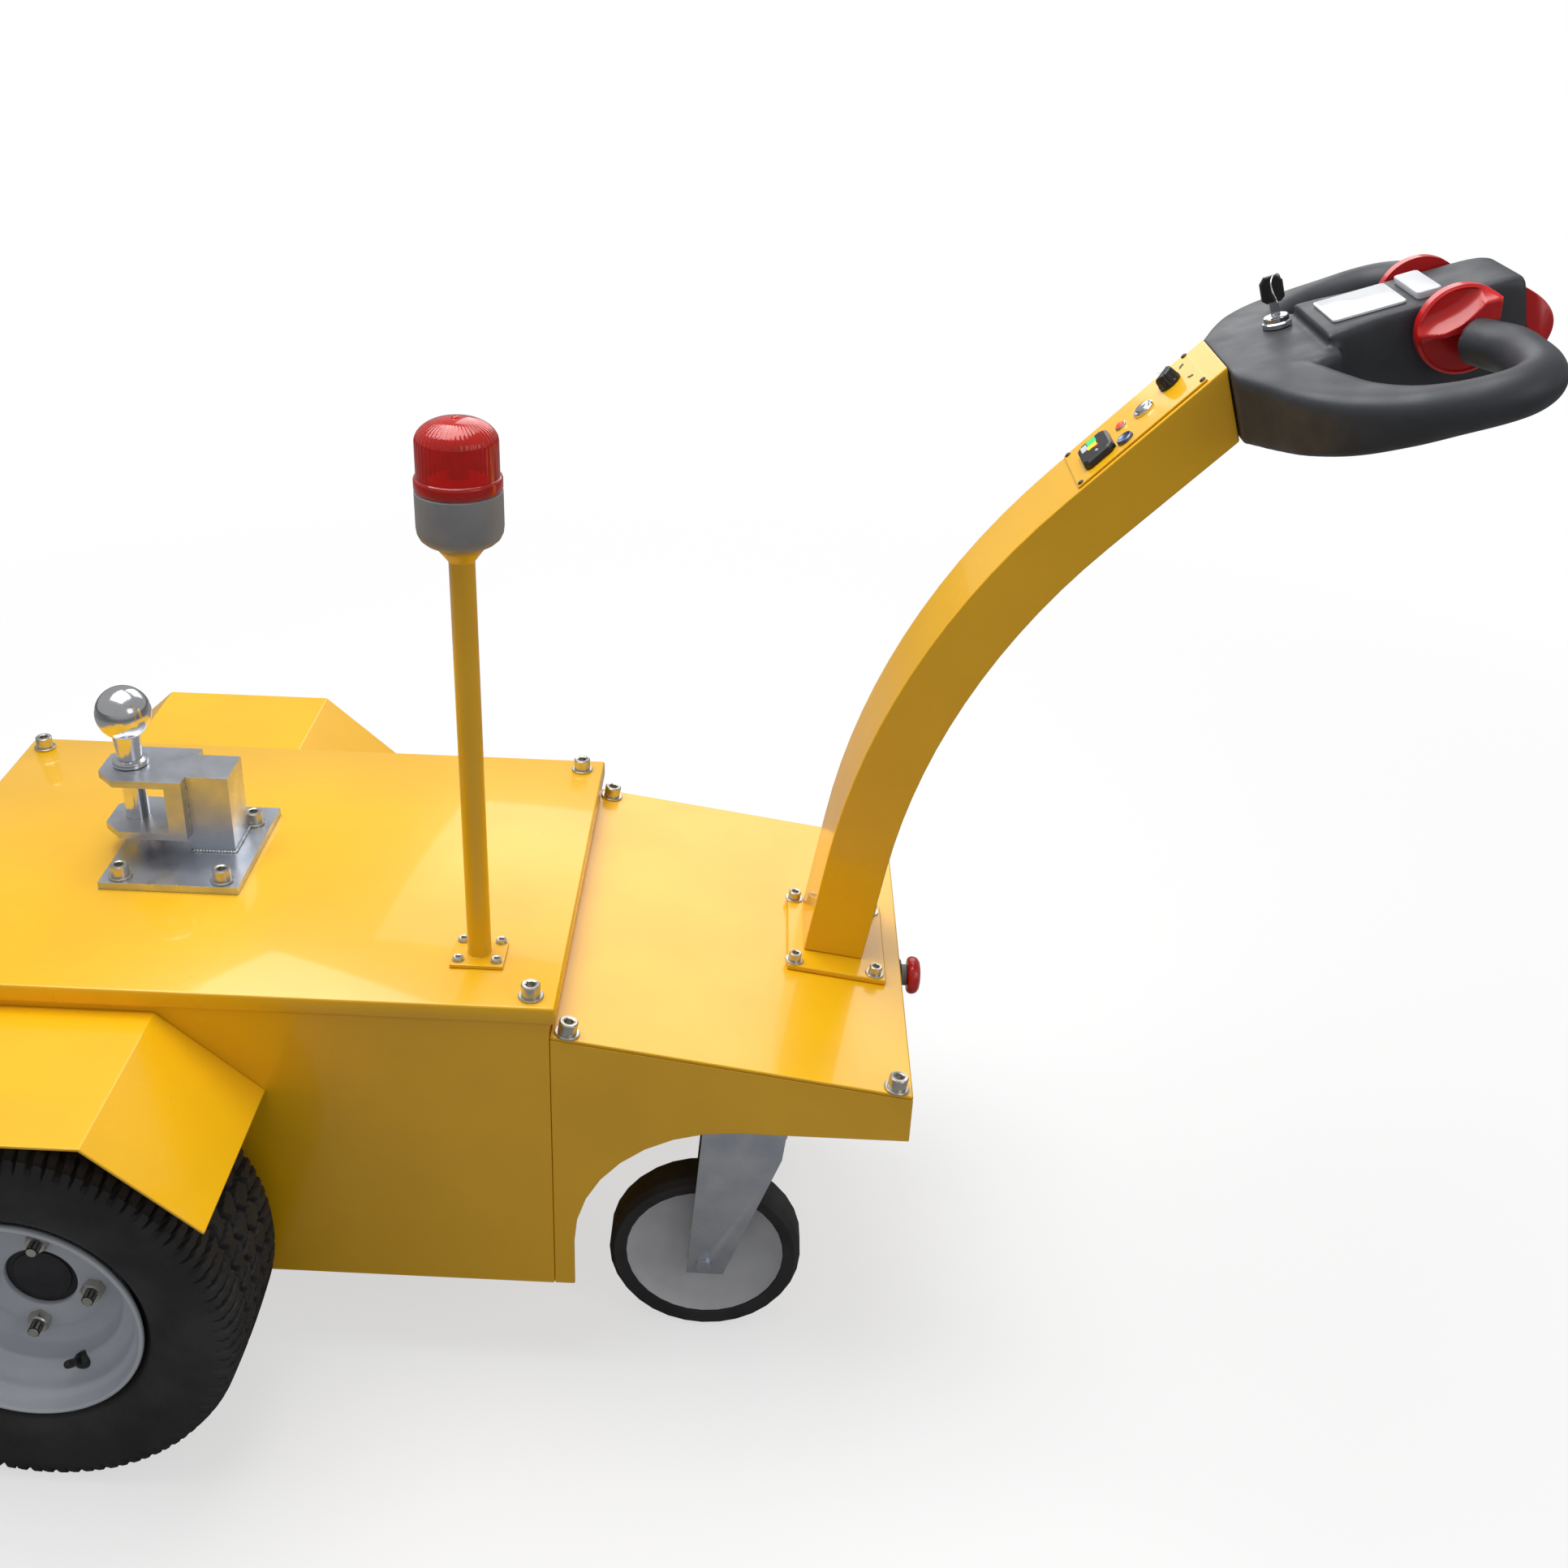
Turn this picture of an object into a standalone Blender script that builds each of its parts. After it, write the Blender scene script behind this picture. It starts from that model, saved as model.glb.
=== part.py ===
"""Walk-behind electric tow tug: a sheet-steel box on two driven wheels and two casters.

Metres, +Z up, the floor at z = 0, +X towards the driver's tiller, y = 0 on the body's
middle plane. The pieces are drawn with the drive axle over x = 0, and main() then moves
them so that the origin is on the floor under the middle of the whole tug.
"""

import math

import bmesh
import bpy
from mathutils import Matrix, Vector

# Clearances
GAP = 0.0003            # between two pieces that touch
RUN = 0.006             # between a moving piece and its neighbours

# Drive wheels
TYRE_RADIUS = 0.2015
TYRE_WIDTH = 0.165
RIM_RADIUS = 0.1155
RIM_WIDTH = 0.150
RIM_WALL = 0.003
RIM_DISC = 0.005
BORE_RADIUS = 0.034
STUD_CIRCLE = 0.0508
STUD_RADIUS = 0.006
STUD_LENGTH = 0.032
STUD_TURN = -8          # degrees of the first stud from the level
WHEEL_Y = 0.3395        # wheel centre from the middle plane
DISC_OUTBOARD = 0.016   # rim disc's outer face from the wheel centre
HUB_RADIUS = 0.066
HUB_THICK = 0.012
AXLE_RADIUS = 0.027

# Box body and its lid
BODY_WIDTH = 0.485
SHEET = 0.004
BOX_REAR = -0.1935
BOX_FRONT = 0.468
BOX_BOTTOM = 0.114
LID_TOP = 0.4555
LID_SHEET = 0.003
LID_LIP = 0.0186
LID_OVERHANG = 0.001    # lip's inner face from the box

# Front part with the caster arch
FRONT_END = 0.8098
SKIRT_BOTTOM = 0.3165
FOOT_LENGTH = 0.020     # lowest strip of its side, before the arch
ARCH_LONG = 0.157
ARCH_HIGH = 0.147
DECK_SHEET = 0.005
COVER_SHEET = 0.004
COVER_HIGH = 0.4214     # cover's top at its rear edge
COVER_LOW = 0.3701      # and at its front edge

# Fenders
FENDER_TOP = 0.430
FENDER_FLAT = 0.0997    # half length of the flat top
FENDER_HALF = 0.196     # half length overall
FENDER_DROP = 0.086
FENDER_OUT = 0.437
FENDER_SHEET = 0.003

# Tow hitch on the lid
HITCH_X = 0.063
HITCH_Y = 0.0063
HITCH_PLATE = (0.142, 0.166, 0.008)
POST_X = 0.0905
POST_Y = 0.0168
POST_SIZE = (0.045, 0.050)
POST_TOP = 0.5508
CLEVIS_REAR = -0.0215
CLEVIS_WIDTH = 0.077
CLEVIS_CHAMFER = 0.020
CLEVIS_PLATE = 0.008
CLEVIS_LOW = 0.483      # underside of the lower plate
CLEVIS_WEB = 0.018
PIN_X = 0.006
PIN_RADIUS = 0.012
PIN_BOTTOM = 0.474
PIN_COLLAR = 0.018
PIN_NECK = 0.0128
KNOB_RADIUS = 0.028
KNOB_Z = 0.609

# Warning lamp on its mast
MAST_X = 0.3925
MAST_Y = -0.164
MAST_RADIUS = 0.0115
MAST_PLATE = (0.051, 0.042, 0.004)
MAST_TOP = 0.8717
LAMP_RADIUS = 0.0372
LAMP_BASE = 0.0490
LENS_RADIUS = 0.0360
LENS_HEIGHT = 0.0615

# Tiller arm
ARM_X = 0.7377          # foot's middle
ARM_Y = 0.0138
ARM_WIDTH = 0.098
ARM_DEPTH = 0.0615
ARM_WALL = 0.003
ARM_LEAN = 9.3          # degrees from upright at the foot
ARM_STRAIGHT = 0.1121
ARM_RADIUS = 0.6838
ARM_TURN = 34.8
ARM_REACH = 0.1616      # straight upper end
ARM_STEPS = 14
ARM_PLATE = (0.103, 0.142, 0.006)
ARM_PLATE_Y = 0.004

# Control panel on the arm
PANEL_SIZE = (0.142, 0.090, 0.002)
PANEL_END = 0.0187      # its upper end below the arm's end

# Tiller head, in its own frame: s along it, y across it and h up from its deck
HEAD_PITCH = 18.6
HEAD_X = 1.1178
HEAD_Z = 1.0455
HEAD_NECK_S = -0.0825
SPINE_LENGTH = 0.166
SPINE_REAR = 0.120
SPINE_WAIST = (0.050, 0.100)    # along the head, width there
SPINE_FRONT = 0.091
SPINE_HEIGHT = 0.082
NECK_TOP = -0.010
NECK_HEIGHT = 0.066
LOOP_RADIUS = 0.0205
LOOP_OUT = 0.194
LOOP_DOWN = 0.045
LOOP_END = 0.132
THROTTLE_S = 0.108
THROTTLE_H = -0.0275
THROTTLE_RADIUS = 0.038
THROTTLE_THICK = 0.027
BELLY_REACH = 0.028     # belly button beyond the spine
BELLY_LOW = 0.058       # lower end of its flat front, below the deck

# Key switch on the neck
KEY_SPOT = (-0.020, 0.036)
KEY_BARREL = (0.013, 0.010)

# Emergency stop on the front skirt
STOP_Z = 0.342
STOP_BARREL = 0.0115
STOP_RADIUS = 0.020

# Casters
CASTER_X = 0.662
CASTER_Y = 0.158
CASTER_WHEEL = 0.100
CASTER_WIDTH = 0.044
CASTER_TRAIL = 0.045
CASTER_PLATE = (0.105, 0.085, 0.006)
CASTER_PIN = 0.008      # axle pin's radius
FORK_SHEET = 0.005
FORK_TOP = 0.282

# Closed inside: two heavy masses
BATTERY = (0.330, 0.340, 0.200)
BATTERY_X = 0.250
MOTOR_RADIUS = 0.062
MOTOR_LENGTH = 0.260

WHEEL_STEPS = 40        # sides of a drive wheel
STEPS = 32              # sides of a large round piece
FINE = 16               # sides of a small one

PARTS = "airport_tow_tug"
CUTTERS = "cutters"

YELLOW = ("safety_yellow", (0.90, 0.52, 0.02), 0.25, 0.0)
ZINC = ("zinc_plate", (0.60, 0.64, 0.68), 0.35, 1.0)
STEEL = ("bright_steel", (0.70, 0.70, 0.70), 0.20, 1.0)
RUBBER = ("tyre_rubber", (0.02, 0.02, 0.02), 0.80, 0.0)
RIM_GREY = ("rim_grey", (0.62, 0.66, 0.72), 0.40, 0.0)
CHARCOAL = ("charcoal_plastic", (0.03, 0.035, 0.045), 0.55, 0.0)
RED = ("red_plastic", (0.60, 0.02, 0.02), 0.30, 0.0)
GREY = ("pale_grey_plastic", (0.60, 0.60, 0.60), 0.45, 0.0)
IRON = ("black_iron", (0.05, 0.05, 0.05), 0.60, 0.5)


# ---------------------------------------------------------------- helpers

def collection(name):
    """A fresh collection linked to the scene."""
    made = bpy.data.collections.new(name)
    bpy.context.scene.collection.children.link(made)
    return made


def material(entry):
    """The Principled material of a (name, colour, roughness, metallic) entry."""
    name, colour, roughness, metallic = entry
    found = bpy.data.materials.get(name)
    if found:
        return found
    made = bpy.data.materials.new(name)
    made.use_nodes = True
    shader = made.node_tree.nodes["Principled BSDF"]
    shader.inputs["Base Color"].default_value = (*colour, 1.0)
    shader.inputs["Roughness"].default_value = roughness
    shader.inputs["Metallic"].default_value = metallic
    made.diffuse_color = (*colour, 1.0)
    return made


def place(name, mesh, matrix=None):
    """A new object in the parts collection."""
    made = bpy.data.objects.new(name, mesh)
    bpy.data.collections[PARTS].objects.link(made)
    if matrix is not None:
        made.matrix_world = matrix
    return made


def finish(piece, look, smooth=False):
    """Give a piece its material and its shading."""
    piece.data.materials.clear()
    piece.data.materials.append(material(look))
    if smooth:
        piece.data.shade_smooth()
        piece.data.set_sharp_from_angle(angle=math.radians(35))
    return piece


def as_cutter(piece):
    """Move a piece to the cutters, where the build leaves it out."""
    bpy.data.collections[PARTS].objects.unlink(piece)
    bpy.data.collections[CUTTERS].objects.link(piece)
    piece.hide_render = True
    piece.display_type = "WIRE"
    return piece


def combine(piece, other, operation):
    """A Boolean of piece with other, which becomes a cutter."""
    as_cutter(other)
    step = piece.modifiers.new(operation.lower(), "BOOLEAN")
    step.operation = operation
    step.solver = "EXACT"
    step.object = other
    return piece


def cut(piece, other):
    return combine(piece, other, "DIFFERENCE")


def join(piece, other):
    return combine(piece, other, "UNION")


def bevel(piece, width, segments=1, angle=40):
    """Round the sharp edges of a piece."""
    step = piece.modifiers.new("bevel", "BEVEL")
    step.width = width
    step.segments = segments
    step.limit_method = "ANGLE"
    step.angle_limit = math.radians(angle)
    return piece


def box(name, low, high):
    """A box between two corners, with its origin at its middle."""
    size = [b - a for a, b in zip(low, high)]
    mesh = bpy.data.meshes.new(name)
    shape = bmesh.new()
    bmesh.ops.create_cube(shape, size=1.0)
    bmesh.ops.scale(shape, vec=size, verts=shape.verts)
    shape.to_mesh(mesh)
    shape.free()
    middle = [(a + b) / 2 for a, b in zip(low, high)]
    return place(name, mesh, Matrix.Translation(middle))


def to_mesh(name, curve, matrix):
    """The closed mesh of a curve, whose caps are welded on."""
    guide = bpy.data.objects.new(name + "_guide", curve)
    bpy.context.scene.collection.objects.link(guide)
    bpy.context.view_layer.update()
    depsgraph = bpy.context.evaluated_depsgraph_get()
    mesh = bpy.data.meshes.new_from_object(guide.evaluated_get(depsgraph))
    bpy.data.objects.remove(guide)
    bpy.data.curves.remove(curve)
    shape = bmesh.new()
    shape.from_mesh(mesh)
    bmesh.ops.remove_doubles(shape, verts=shape.verts, dist=0.00001)
    shape.to_mesh(mesh)
    shape.free()
    mesh.name = name
    return place(name, mesh, matrix)


def outline(name, points, thickness, matrix):
    """A flat outline in its own XY plane, thick along its Z both ways."""
    curve = bpy.data.curves.new(name, "CURVE")
    curve.dimensions = "2D"
    curve.fill_mode = "BOTH"
    curve.extrude = thickness / 2
    line = curve.splines.new("POLY")
    line.points.add(len(points) - 1)
    for point, (x, y) in zip(line.points, points):
        point.co = (x, y, 0.0, 1.0)
    line.use_cyclic_u = True
    return to_mesh(name, curve, matrix)


def side_outline(name, points, y_low, y_high):
    """An outline given as (x, z) that runs across the tug from y_low to y_high."""
    upright = Matrix.Rotation(math.pi / 2, 4, "X")
    middle = Matrix.Translation((0, (y_low + y_high) / 2, 0))
    return outline(name, points, y_high - y_low, middle @ upright)


def tube(name, points, radius, matrix=None, resolution=3):
    """A round bar along a line of points."""
    curve = bpy.data.curves.new(name, "CURVE")
    curve.dimensions = "3D"
    curve.bevel_depth = radius
    curve.bevel_resolution = resolution
    curve.use_fill_caps = True
    line = curve.splines.new("POLY")
    line.points.add(len(points) - 1)
    for point, where in zip(line.points, points):
        point.co = (*where, 1.0)
    return to_mesh(name, curve, matrix or Matrix.Identity(4))


def turned(name, profile, matrix, steps=STEPS):
    """A turned shape about its own Z, from a (radius, z) profile run top to bottom."""
    mesh = bpy.data.meshes.new(name)
    points = [(radius, 0.0, z) for radius, z in profile]
    edges = [(i, i + 1) for i in range(len(points) - 1)]
    if profile[0][0] > 0:
        edges.append((len(points) - 1, 0))
    mesh.from_pydata(points, edges, [])
    piece = place(name, mesh, matrix)
    screw = piece.modifiers.new("turn", "SCREW")
    screw.angle = math.tau
    screw.steps = steps
    screw.render_steps = steps
    screw.use_merge_vertices = True
    screw.merge_threshold = 0.00001
    screw.use_normal_calculate = False
    return piece


def rod(name, radius, length, matrix, steps=FINE):
    """A cylinder that starts at its own origin and runs up its own Z."""
    return turned(name, [(0, length), (radius, length), (radius, 0), (0, 0)], matrix, steps)


def parent(child, holder):
    """Parent a child and keep it where it stands."""
    bpy.context.view_layer.update()
    child.parent = holder
    child.matrix_parent_inverse = holder.matrix_world.inverted()


def empty(name, where):
    """An empty at a joint."""
    made = bpy.data.objects.new(name, None)
    bpy.data.collections[PARTS].objects.link(made)
    made.location = where
    bpy.context.view_layer.update()
    return made


def along_y(where, sign):
    """A frame at a point whose own Z runs outboard along Y."""
    return Matrix.Translation(where) @ Matrix.Rotation(-sign * math.pi / 2, 4, "X")


def arc(centre, long, high, start, end, count):
    """Points of an ellipse arc between two angles in degrees."""
    made = []
    for i in range(count + 1):
        angle = math.radians(start + (end - start) * i / count)
        made.append((centre[0] + long * math.cos(angle), centre[1] + high * math.sin(angle)))
    return made


# ---------------------------------------------------------------- body

def cover_slope():
    """Rise of the sloped cover per metre along the tug: it falls towards the front."""
    return (COVER_LOW - COVER_HIGH) / (FRONT_END - BOX_FRONT)


def cover_top(x):
    """Height of the sloped cover's top at a place along the tug."""
    return COVER_HIGH + (x - BOX_FRONT) * cover_slope()


def box_body():
    """The open-topped battery box, with a hole each side for the axle tube."""
    half = BODY_WIDTH / 2
    top = LID_TOP - LID_SHEET - GAP
    body = box("box_body", (BOX_REAR, -half, BOX_BOTTOM), (BOX_FRONT, half, top))
    hollow = box("box_hollow", (BOX_REAR + SHEET, SHEET - half, BOX_BOTTOM + SHEET),
                 (BOX_FRONT - SHEET, half - SHEET, top + SHEET))
    cut(body, hollow)
    passage = rod("axle_passage", AXLE_RADIUS + GAP, 2 * half + 2 * SHEET,
                  along_y((0, -half - SHEET, TYRE_RADIUS), 1), STEPS)
    cut(body, passage)
    return finish(body, YELLOW)


def lid():
    """The lid, with its edges bent down round the box."""
    half = BODY_WIDTH / 2 + LID_OVERHANG
    inner_rear = BOX_REAR - LID_OVERHANG
    inner_front = BOX_FRONT + LID_SHEET
    plate = box("lid", (inner_rear - LID_SHEET, -half - LID_SHEET, LID_TOP - LID_LIP),
                (inner_front + LID_SHEET, half + LID_SHEET, LID_TOP))
    hollow = box("lid_hollow", (inner_rear, -half, LID_TOP - LID_LIP - SHEET),
                 (inner_front, half, LID_TOP - LID_SHEET))
    bevel(plate, 0.0025, 2)
    cut(plate, hollow)
    return finish(plate, YELLOW)


def front_frame():
    """Side plates with the caster arch, joined by the deck, the skirt and the rear plate."""
    half = BODY_WIDTH / 2
    rear = BOX_FRONT + GAP
    foot = rear + FOOT_LENGTH
    under = COVER_SHEET + GAP
    arch = arc((foot + ARCH_LONG, SKIRT_BOTTOM - ARCH_HIGH), ARCH_LONG, ARCH_HIGH, 180, 90, 8)
    sides = [(rear, BOX_BOTTOM), (foot, BOX_BOTTOM)] + arch
    sides += [(FRONT_END, SKIRT_BOTTOM), (FRONT_END, cover_top(FRONT_END) - under)]
    sides += [(rear, cover_top(rear) - under)]
    frame = side_outline("front_frame", sides, -half, half)
    deck_top = SKIRT_BOTTOM + DECK_SHEET
    upper = box("front_upper_bay", (rear + SHEET, SHEET - half, deck_top),
                (FRONT_END - SHEET, half - SHEET, COVER_HIGH + SHEET))
    cut(frame, upper)
    lower = box("front_lower_bay", (rear + SHEET, SHEET - half, BOX_BOTTOM - SHEET),
                (FRONT_END + SHEET, half - SHEET, SKIRT_BOTTOM))
    cut(frame, lower)
    stop_hole = rod("stop_hole", STOP_BARREL + GAP, 4 * SHEET,
                    Matrix.Translation((FRONT_END - 2 * SHEET, 0, STOP_Z))
                    @ Matrix.Rotation(math.pi / 2, 4, "Y"))
    cut(frame, stop_hole)
    return finish(frame, YELLOW)


def slope_frame(x, y, lift):
    """A frame on the sloped cover's top: its Z is square to the cover, its X runs down it."""
    tilt = -math.atan(cover_slope())
    at = Vector((x, y, cover_top(x)))
    turn = Matrix.Rotation(tilt, 4, "Y")
    return Matrix.Translation(at + turn @ Vector((0, 0, lift))) @ turn


def sloped_cover():
    """The bolted cover of the front part."""
    half = BODY_WIDTH / 2
    rear = BOX_FRONT + GAP
    points = [(rear, cover_top(rear) - COVER_SHEET), (FRONT_END, cover_top(FRONT_END) - COVER_SHEET),
              (FRONT_END, cover_top(FRONT_END)), (rear, cover_top(rear))]
    return finish(side_outline("sloped_cover", points, -half, half), YELLOW)


def fender(side, sign):
    """A folded fender: a flat top between two sloped flaps, welded to the box."""
    inner = BODY_WIDTH / 2 + GAP
    low = FENDER_TOP - FENDER_DROP
    top = [(-FENDER_HALF, low), (-FENDER_FLAT, FENDER_TOP), (FENDER_FLAT, FENDER_TOP), (FENDER_HALF, low)]
    slant = math.atan2(FENDER_DROP, FENDER_HALF - FENDER_FLAT)
    inset = FENDER_SHEET * math.tan(slant / 2)
    edge_x = FENDER_SHEET * math.sin(slant)
    edge_z = FENDER_SHEET * math.cos(slant)
    flat = FENDER_FLAT - inset
    under = [(FENDER_HALF - edge_x, low - edge_z), (flat, FENDER_TOP - FENDER_SHEET),
             (-flat, FENDER_TOP - FENDER_SHEET), (edge_x - FENDER_HALF, low - edge_z)]
    ends = sorted((sign * inner, sign * FENDER_OUT))
    piece = side_outline("fender_" + side, top + under, *ends)
    return finish(piece, YELLOW)


# ---------------------------------------------------------------- driveline

def tyre_profile():
    """Outer run of the tyre as (radius, z), from the outboard bead round the tread and back."""
    half = TYRE_WIDTH / 2
    bead = RIM_RADIUS + GAP
    inner = RIM_RADIUS - 0.010
    seat = RIM_WIDTH / 2 - 0.016
    return [(inner, seat), (bead + 0.001, seat + 0.004), (bead + 0.012, half - 0.010),
            (bead + 0.035, half), (bead + 0.060, half - 0.002), (TYRE_RADIUS - 0.006, half - 0.008),
            (TYRE_RADIUS, half - 0.020), (TYRE_RADIUS, 0.020 - half),
            (TYRE_RADIUS - 0.006, 0.008 - half), (bead + 0.060, 0.002 - half),
            (bead + 0.035, -half), (bead + 0.012, 0.010 - half), (bead + 0.001, -seat - 0.004),
            (inner, -seat)]


def rim_profile():
    """The rim as (radius, z): two flanges, a seat, a drop centre and a disc with a bore."""
    flange = RIM_WIDTH / 2
    seat = RIM_WIDTH / 2 - 0.016
    seat_radius = RIM_RADIUS - 0.010 - GAP
    well = RIM_RADIUS - 0.028
    disc = DISC_OUTBOARD
    outer = [(RIM_RADIUS, flange), (RIM_RADIUS, flange - RIM_WALL), (seat_radius, seat + RIM_WALL),
             (seat_radius, seat - 0.012), (well, seat - 0.030), (well, 0.030 - seat),
             (seat_radius, 0.012 - seat), (seat_radius, -seat - RIM_WALL),
             (RIM_RADIUS, RIM_WALL - flange), (RIM_RADIUS, -flange)]
    wall = RIM_WALL
    inner = [(RIM_RADIUS - wall, -flange), (seat_radius - wall, -seat), (seat_radius - wall, 0.014 - seat),
             (well - wall, 0.032 - seat), (well - wall, disc - RIM_DISC), (BORE_RADIUS, disc - RIM_DISC),
             (BORE_RADIUS, disc), (well - wall, disc), (well - wall, seat - 0.032),
             (seat_radius - wall, seat - 0.014), (seat_radius - wall, seat), (RIM_RADIUS - wall, flange)]
    return outer + inner


def drive_wheel(side, sign):
    """Hub with studs, rim and tyre, about an empty on the axle."""
    centre = (0, sign * WHEEL_Y, TYRE_RADIUS)
    frame = along_y(centre, sign)
    joint = empty("axle_" + side, centre)
    tyre = turned("tyre_" + side, tyre_profile(), frame, WHEEL_STEPS)
    finish(tyre, RUBBER, True)
    rim = turned("rim_" + side, rim_profile(), frame, WHEEL_STEPS)
    finish(rim, RIM_GREY, True)
    seat = DISC_OUTBOARD - RIM_DISC - GAP
    hub = rod("hub_" + side, HUB_RADIUS, HUB_THICK,
              frame @ Matrix.Translation((0, 0, seat - HUB_THICK)), STEPS)
    spindle = rod("spindle_" + side, BORE_RADIUS - RUN, 0.030,
                  frame @ Matrix.Translation((0, 0, seat - 0.028)))
    join(hub, spindle)
    for i in range(4):
        turn = Matrix.Rotation(math.radians(STUD_TURN + 90 * i), 4, "Z")
        spot = frame @ turn @ Matrix.Translation((STUD_CIRCLE, 0, seat - HUB_THICK / 2))
        hole = rod(f"stud_hole_{side}_{i}", STUD_RADIUS + GAP, STUD_LENGTH + 0.010, spot, 8)
        cut(rim, hole)
        join(hub, rod(f"stud_{side}_{i}", STUD_RADIUS, STUD_LENGTH, spot, 8))
    finish(hub, STEEL, True)
    for piece in (tyre, rim, hub):
        parent(piece, joint)


def axle_tube():
    """The tube of the driven axle, through both sides of the box."""
    reach = WHEEL_Y + DISC_OUTBOARD - RIM_DISC - 0.028 - RUN
    tube_piece = rod("axle_tube", AXLE_RADIUS, 2 * reach, along_y((0, -reach, TYRE_RADIUS), 1), STEPS)
    return finish(tube_piece, IRON, True)


def motor_block():
    """The drive motor and gearbox as one plain mass beside the axle tube."""
    x = -(AXLE_RADIUS + MOTOR_RADIUS + SHEET)
    spot = along_y((x, -MOTOR_LENGTH / 2, TYRE_RADIUS), 1)
    block = rod("drive_motor", MOTOR_RADIUS, MOTOR_LENGTH, spot, STEPS)
    return finish(block, IRON, True)


def battery_block():
    """The batteries as one plain mass on the box's floor."""
    floor = BOX_BOTTOM + SHEET + GAP
    long, wide, high = BATTERY
    block = box("battery_block", (BATTERY_X - long / 2, -wide / 2, floor),
                (BATTERY_X + long / 2, wide / 2, floor + high))
    return finish(block, CHARCOAL)


# ---------------------------------------------------------------- hitch

def tow_hitch():
    """Base plate, square post and clevis welded into one."""
    long, wide, thick = HITCH_PLATE
    base = LID_TOP + GAP
    plate = box("tow_hitch", (HITCH_X - long / 2, HITCH_Y - wide / 2, base),
                (HITCH_X + long / 2, HITCH_Y + wide / 2, base + thick))
    post_rear = POST_X - POST_SIZE[0] / 2
    half_y = POST_SIZE[1] / 2
    post = box("hitch_post", (post_rear, POST_Y - half_y, base + thick / 2),
               (POST_X + POST_SIZE[0] / 2, POST_Y + half_y, POST_TOP))
    join(plate, post)
    half = CLEVIS_WIDTH / 2
    web = post_rear + 0.001
    corner = CLEVIS_REAR + CLEVIS_CHAMFER
    shape = [(web, -half), (web, half), (corner, half), (CLEVIS_REAR, half - CLEVIS_CHAMFER),
             (CLEVIS_REAR, CLEVIS_CHAMFER - half), (corner, -half)]
    middle = (POST_TOP + CLEVIS_LOW) / 2
    clevis = outline("hitch_clevis", shape, POST_TOP - CLEVIS_LOW - 0.0002,
                     Matrix.Translation((0, POST_Y, middle)))
    mouth = box("hitch_mouth", (CLEVIS_REAR - 0.01, POST_Y - CLEVIS_WIDTH, CLEVIS_LOW + CLEVIS_PLATE),
                (web - CLEVIS_WEB, POST_Y + CLEVIS_WIDTH, POST_TOP - CLEVIS_PLATE))
    cut(clevis, mouth)
    join(plate, clevis)
    below = Matrix.Translation((PIN_X, POST_Y, CLEVIS_LOW - 0.01))
    hole = rod("hitch_pin_hole", PIN_RADIUS + GAP, 0.12, below)
    cut(plate, hole)
    return finish(plate, ZINC)


def tow_pin():
    """The drop-in tow pin with its collar and ball knob."""
    ball = arc((0, KNOB_Z), KNOB_RADIUS, KNOB_RADIUS, 90, -62, 10)
    profile = [(0, KNOB_Z + KNOB_RADIUS)] + ball[1:]
    collar = POST_TOP + GAP
    profile += [(PIN_NECK, collar + 0.012), (PIN_COLLAR, collar + 0.005), (PIN_COLLAR, collar),
                (PIN_RADIUS, collar), (PIN_RADIUS, PIN_BOTTOM), (0, PIN_BOTTOM)]
    pin = turned("tow_pin", profile, Matrix.Translation((PIN_X, POST_Y, 0)), FINE)
    return finish(pin, STEEL, True)


def pin_ring():
    """The wire ring that keeps the pin, round its lower end."""
    radius = 0.022
    ring = [(radius * math.cos(a), radius * math.sin(a), 0) for a in
            [math.tau * i / 20 for i in range(20)]]
    curve = bpy.data.curves.new("pin_ring", "CURVE")
    curve.dimensions = "3D"
    curve.bevel_depth = 0.0015
    curve.bevel_resolution = 1
    line = curve.splines.new("POLY")
    line.points.add(len(ring) - 1)
    for point, where in zip(line.points, ring):
        point.co = (*where, 1.0)
    line.use_cyclic_u = True
    z = CLEVIS_LOW - 0.0015 - GAP - 0.002
    piece = to_mesh("pin_ring", curve, Matrix.Translation((PIN_X - 0.008, POST_Y, z)))
    return finish(piece, STEEL, True)


# ---------------------------------------------------------------- lamp

def lamp():
    """Mast with its foot and cup, the lamp's base and its ribbed dome."""
    long, wide, thick = MAST_PLATE
    base = LID_TOP + GAP
    mast = box("lamp_mast", (MAST_X - long / 2, MAST_Y - wide / 2 - 0.003, base),
               (MAST_X + long / 2, MAST_Y + wide / 2 - 0.003, base + thick))
    pole = turned("mast_pole", [(0, MAST_TOP), (0.020, MAST_TOP), (0.020, MAST_TOP - 0.003),
                                (MAST_RADIUS, MAST_TOP - 0.014), (MAST_RADIUS, base + thick / 2),
                                (0, base + thick / 2)], Matrix.Translation((MAST_X, MAST_Y, 0)), FINE)
    join(mast, pole)
    finish(mast, YELLOW)
    low = MAST_TOP + GAP
    high = low + LAMP_BASE
    housing = turned("lamp_base", [(0, high), (LAMP_RADIUS, high), (LAMP_RADIUS, low + 0.012),
                                   (LAMP_RADIUS - 0.004, low + 0.004), (LAMP_RADIUS - 0.012, low), (0, low)],
                     Matrix.Translation((MAST_X, MAST_Y, 0)))
    finish(housing, GREY, True)
    foot = high + GAP
    shoulder = foot + LENS_HEIGHT * 0.52
    dome = arc((0, shoulder), LENS_RADIUS - 0.002, LENS_HEIGHT * 0.48, 90, 0, 6)
    lens = turned("lamp_lens", dome + [(LENS_RADIUS, foot + 0.010), (LENS_RADIUS, foot), (0, foot)],
                  Matrix.Translation((MAST_X, MAST_Y, 0)))
    finish(lens, RED, True)


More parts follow.
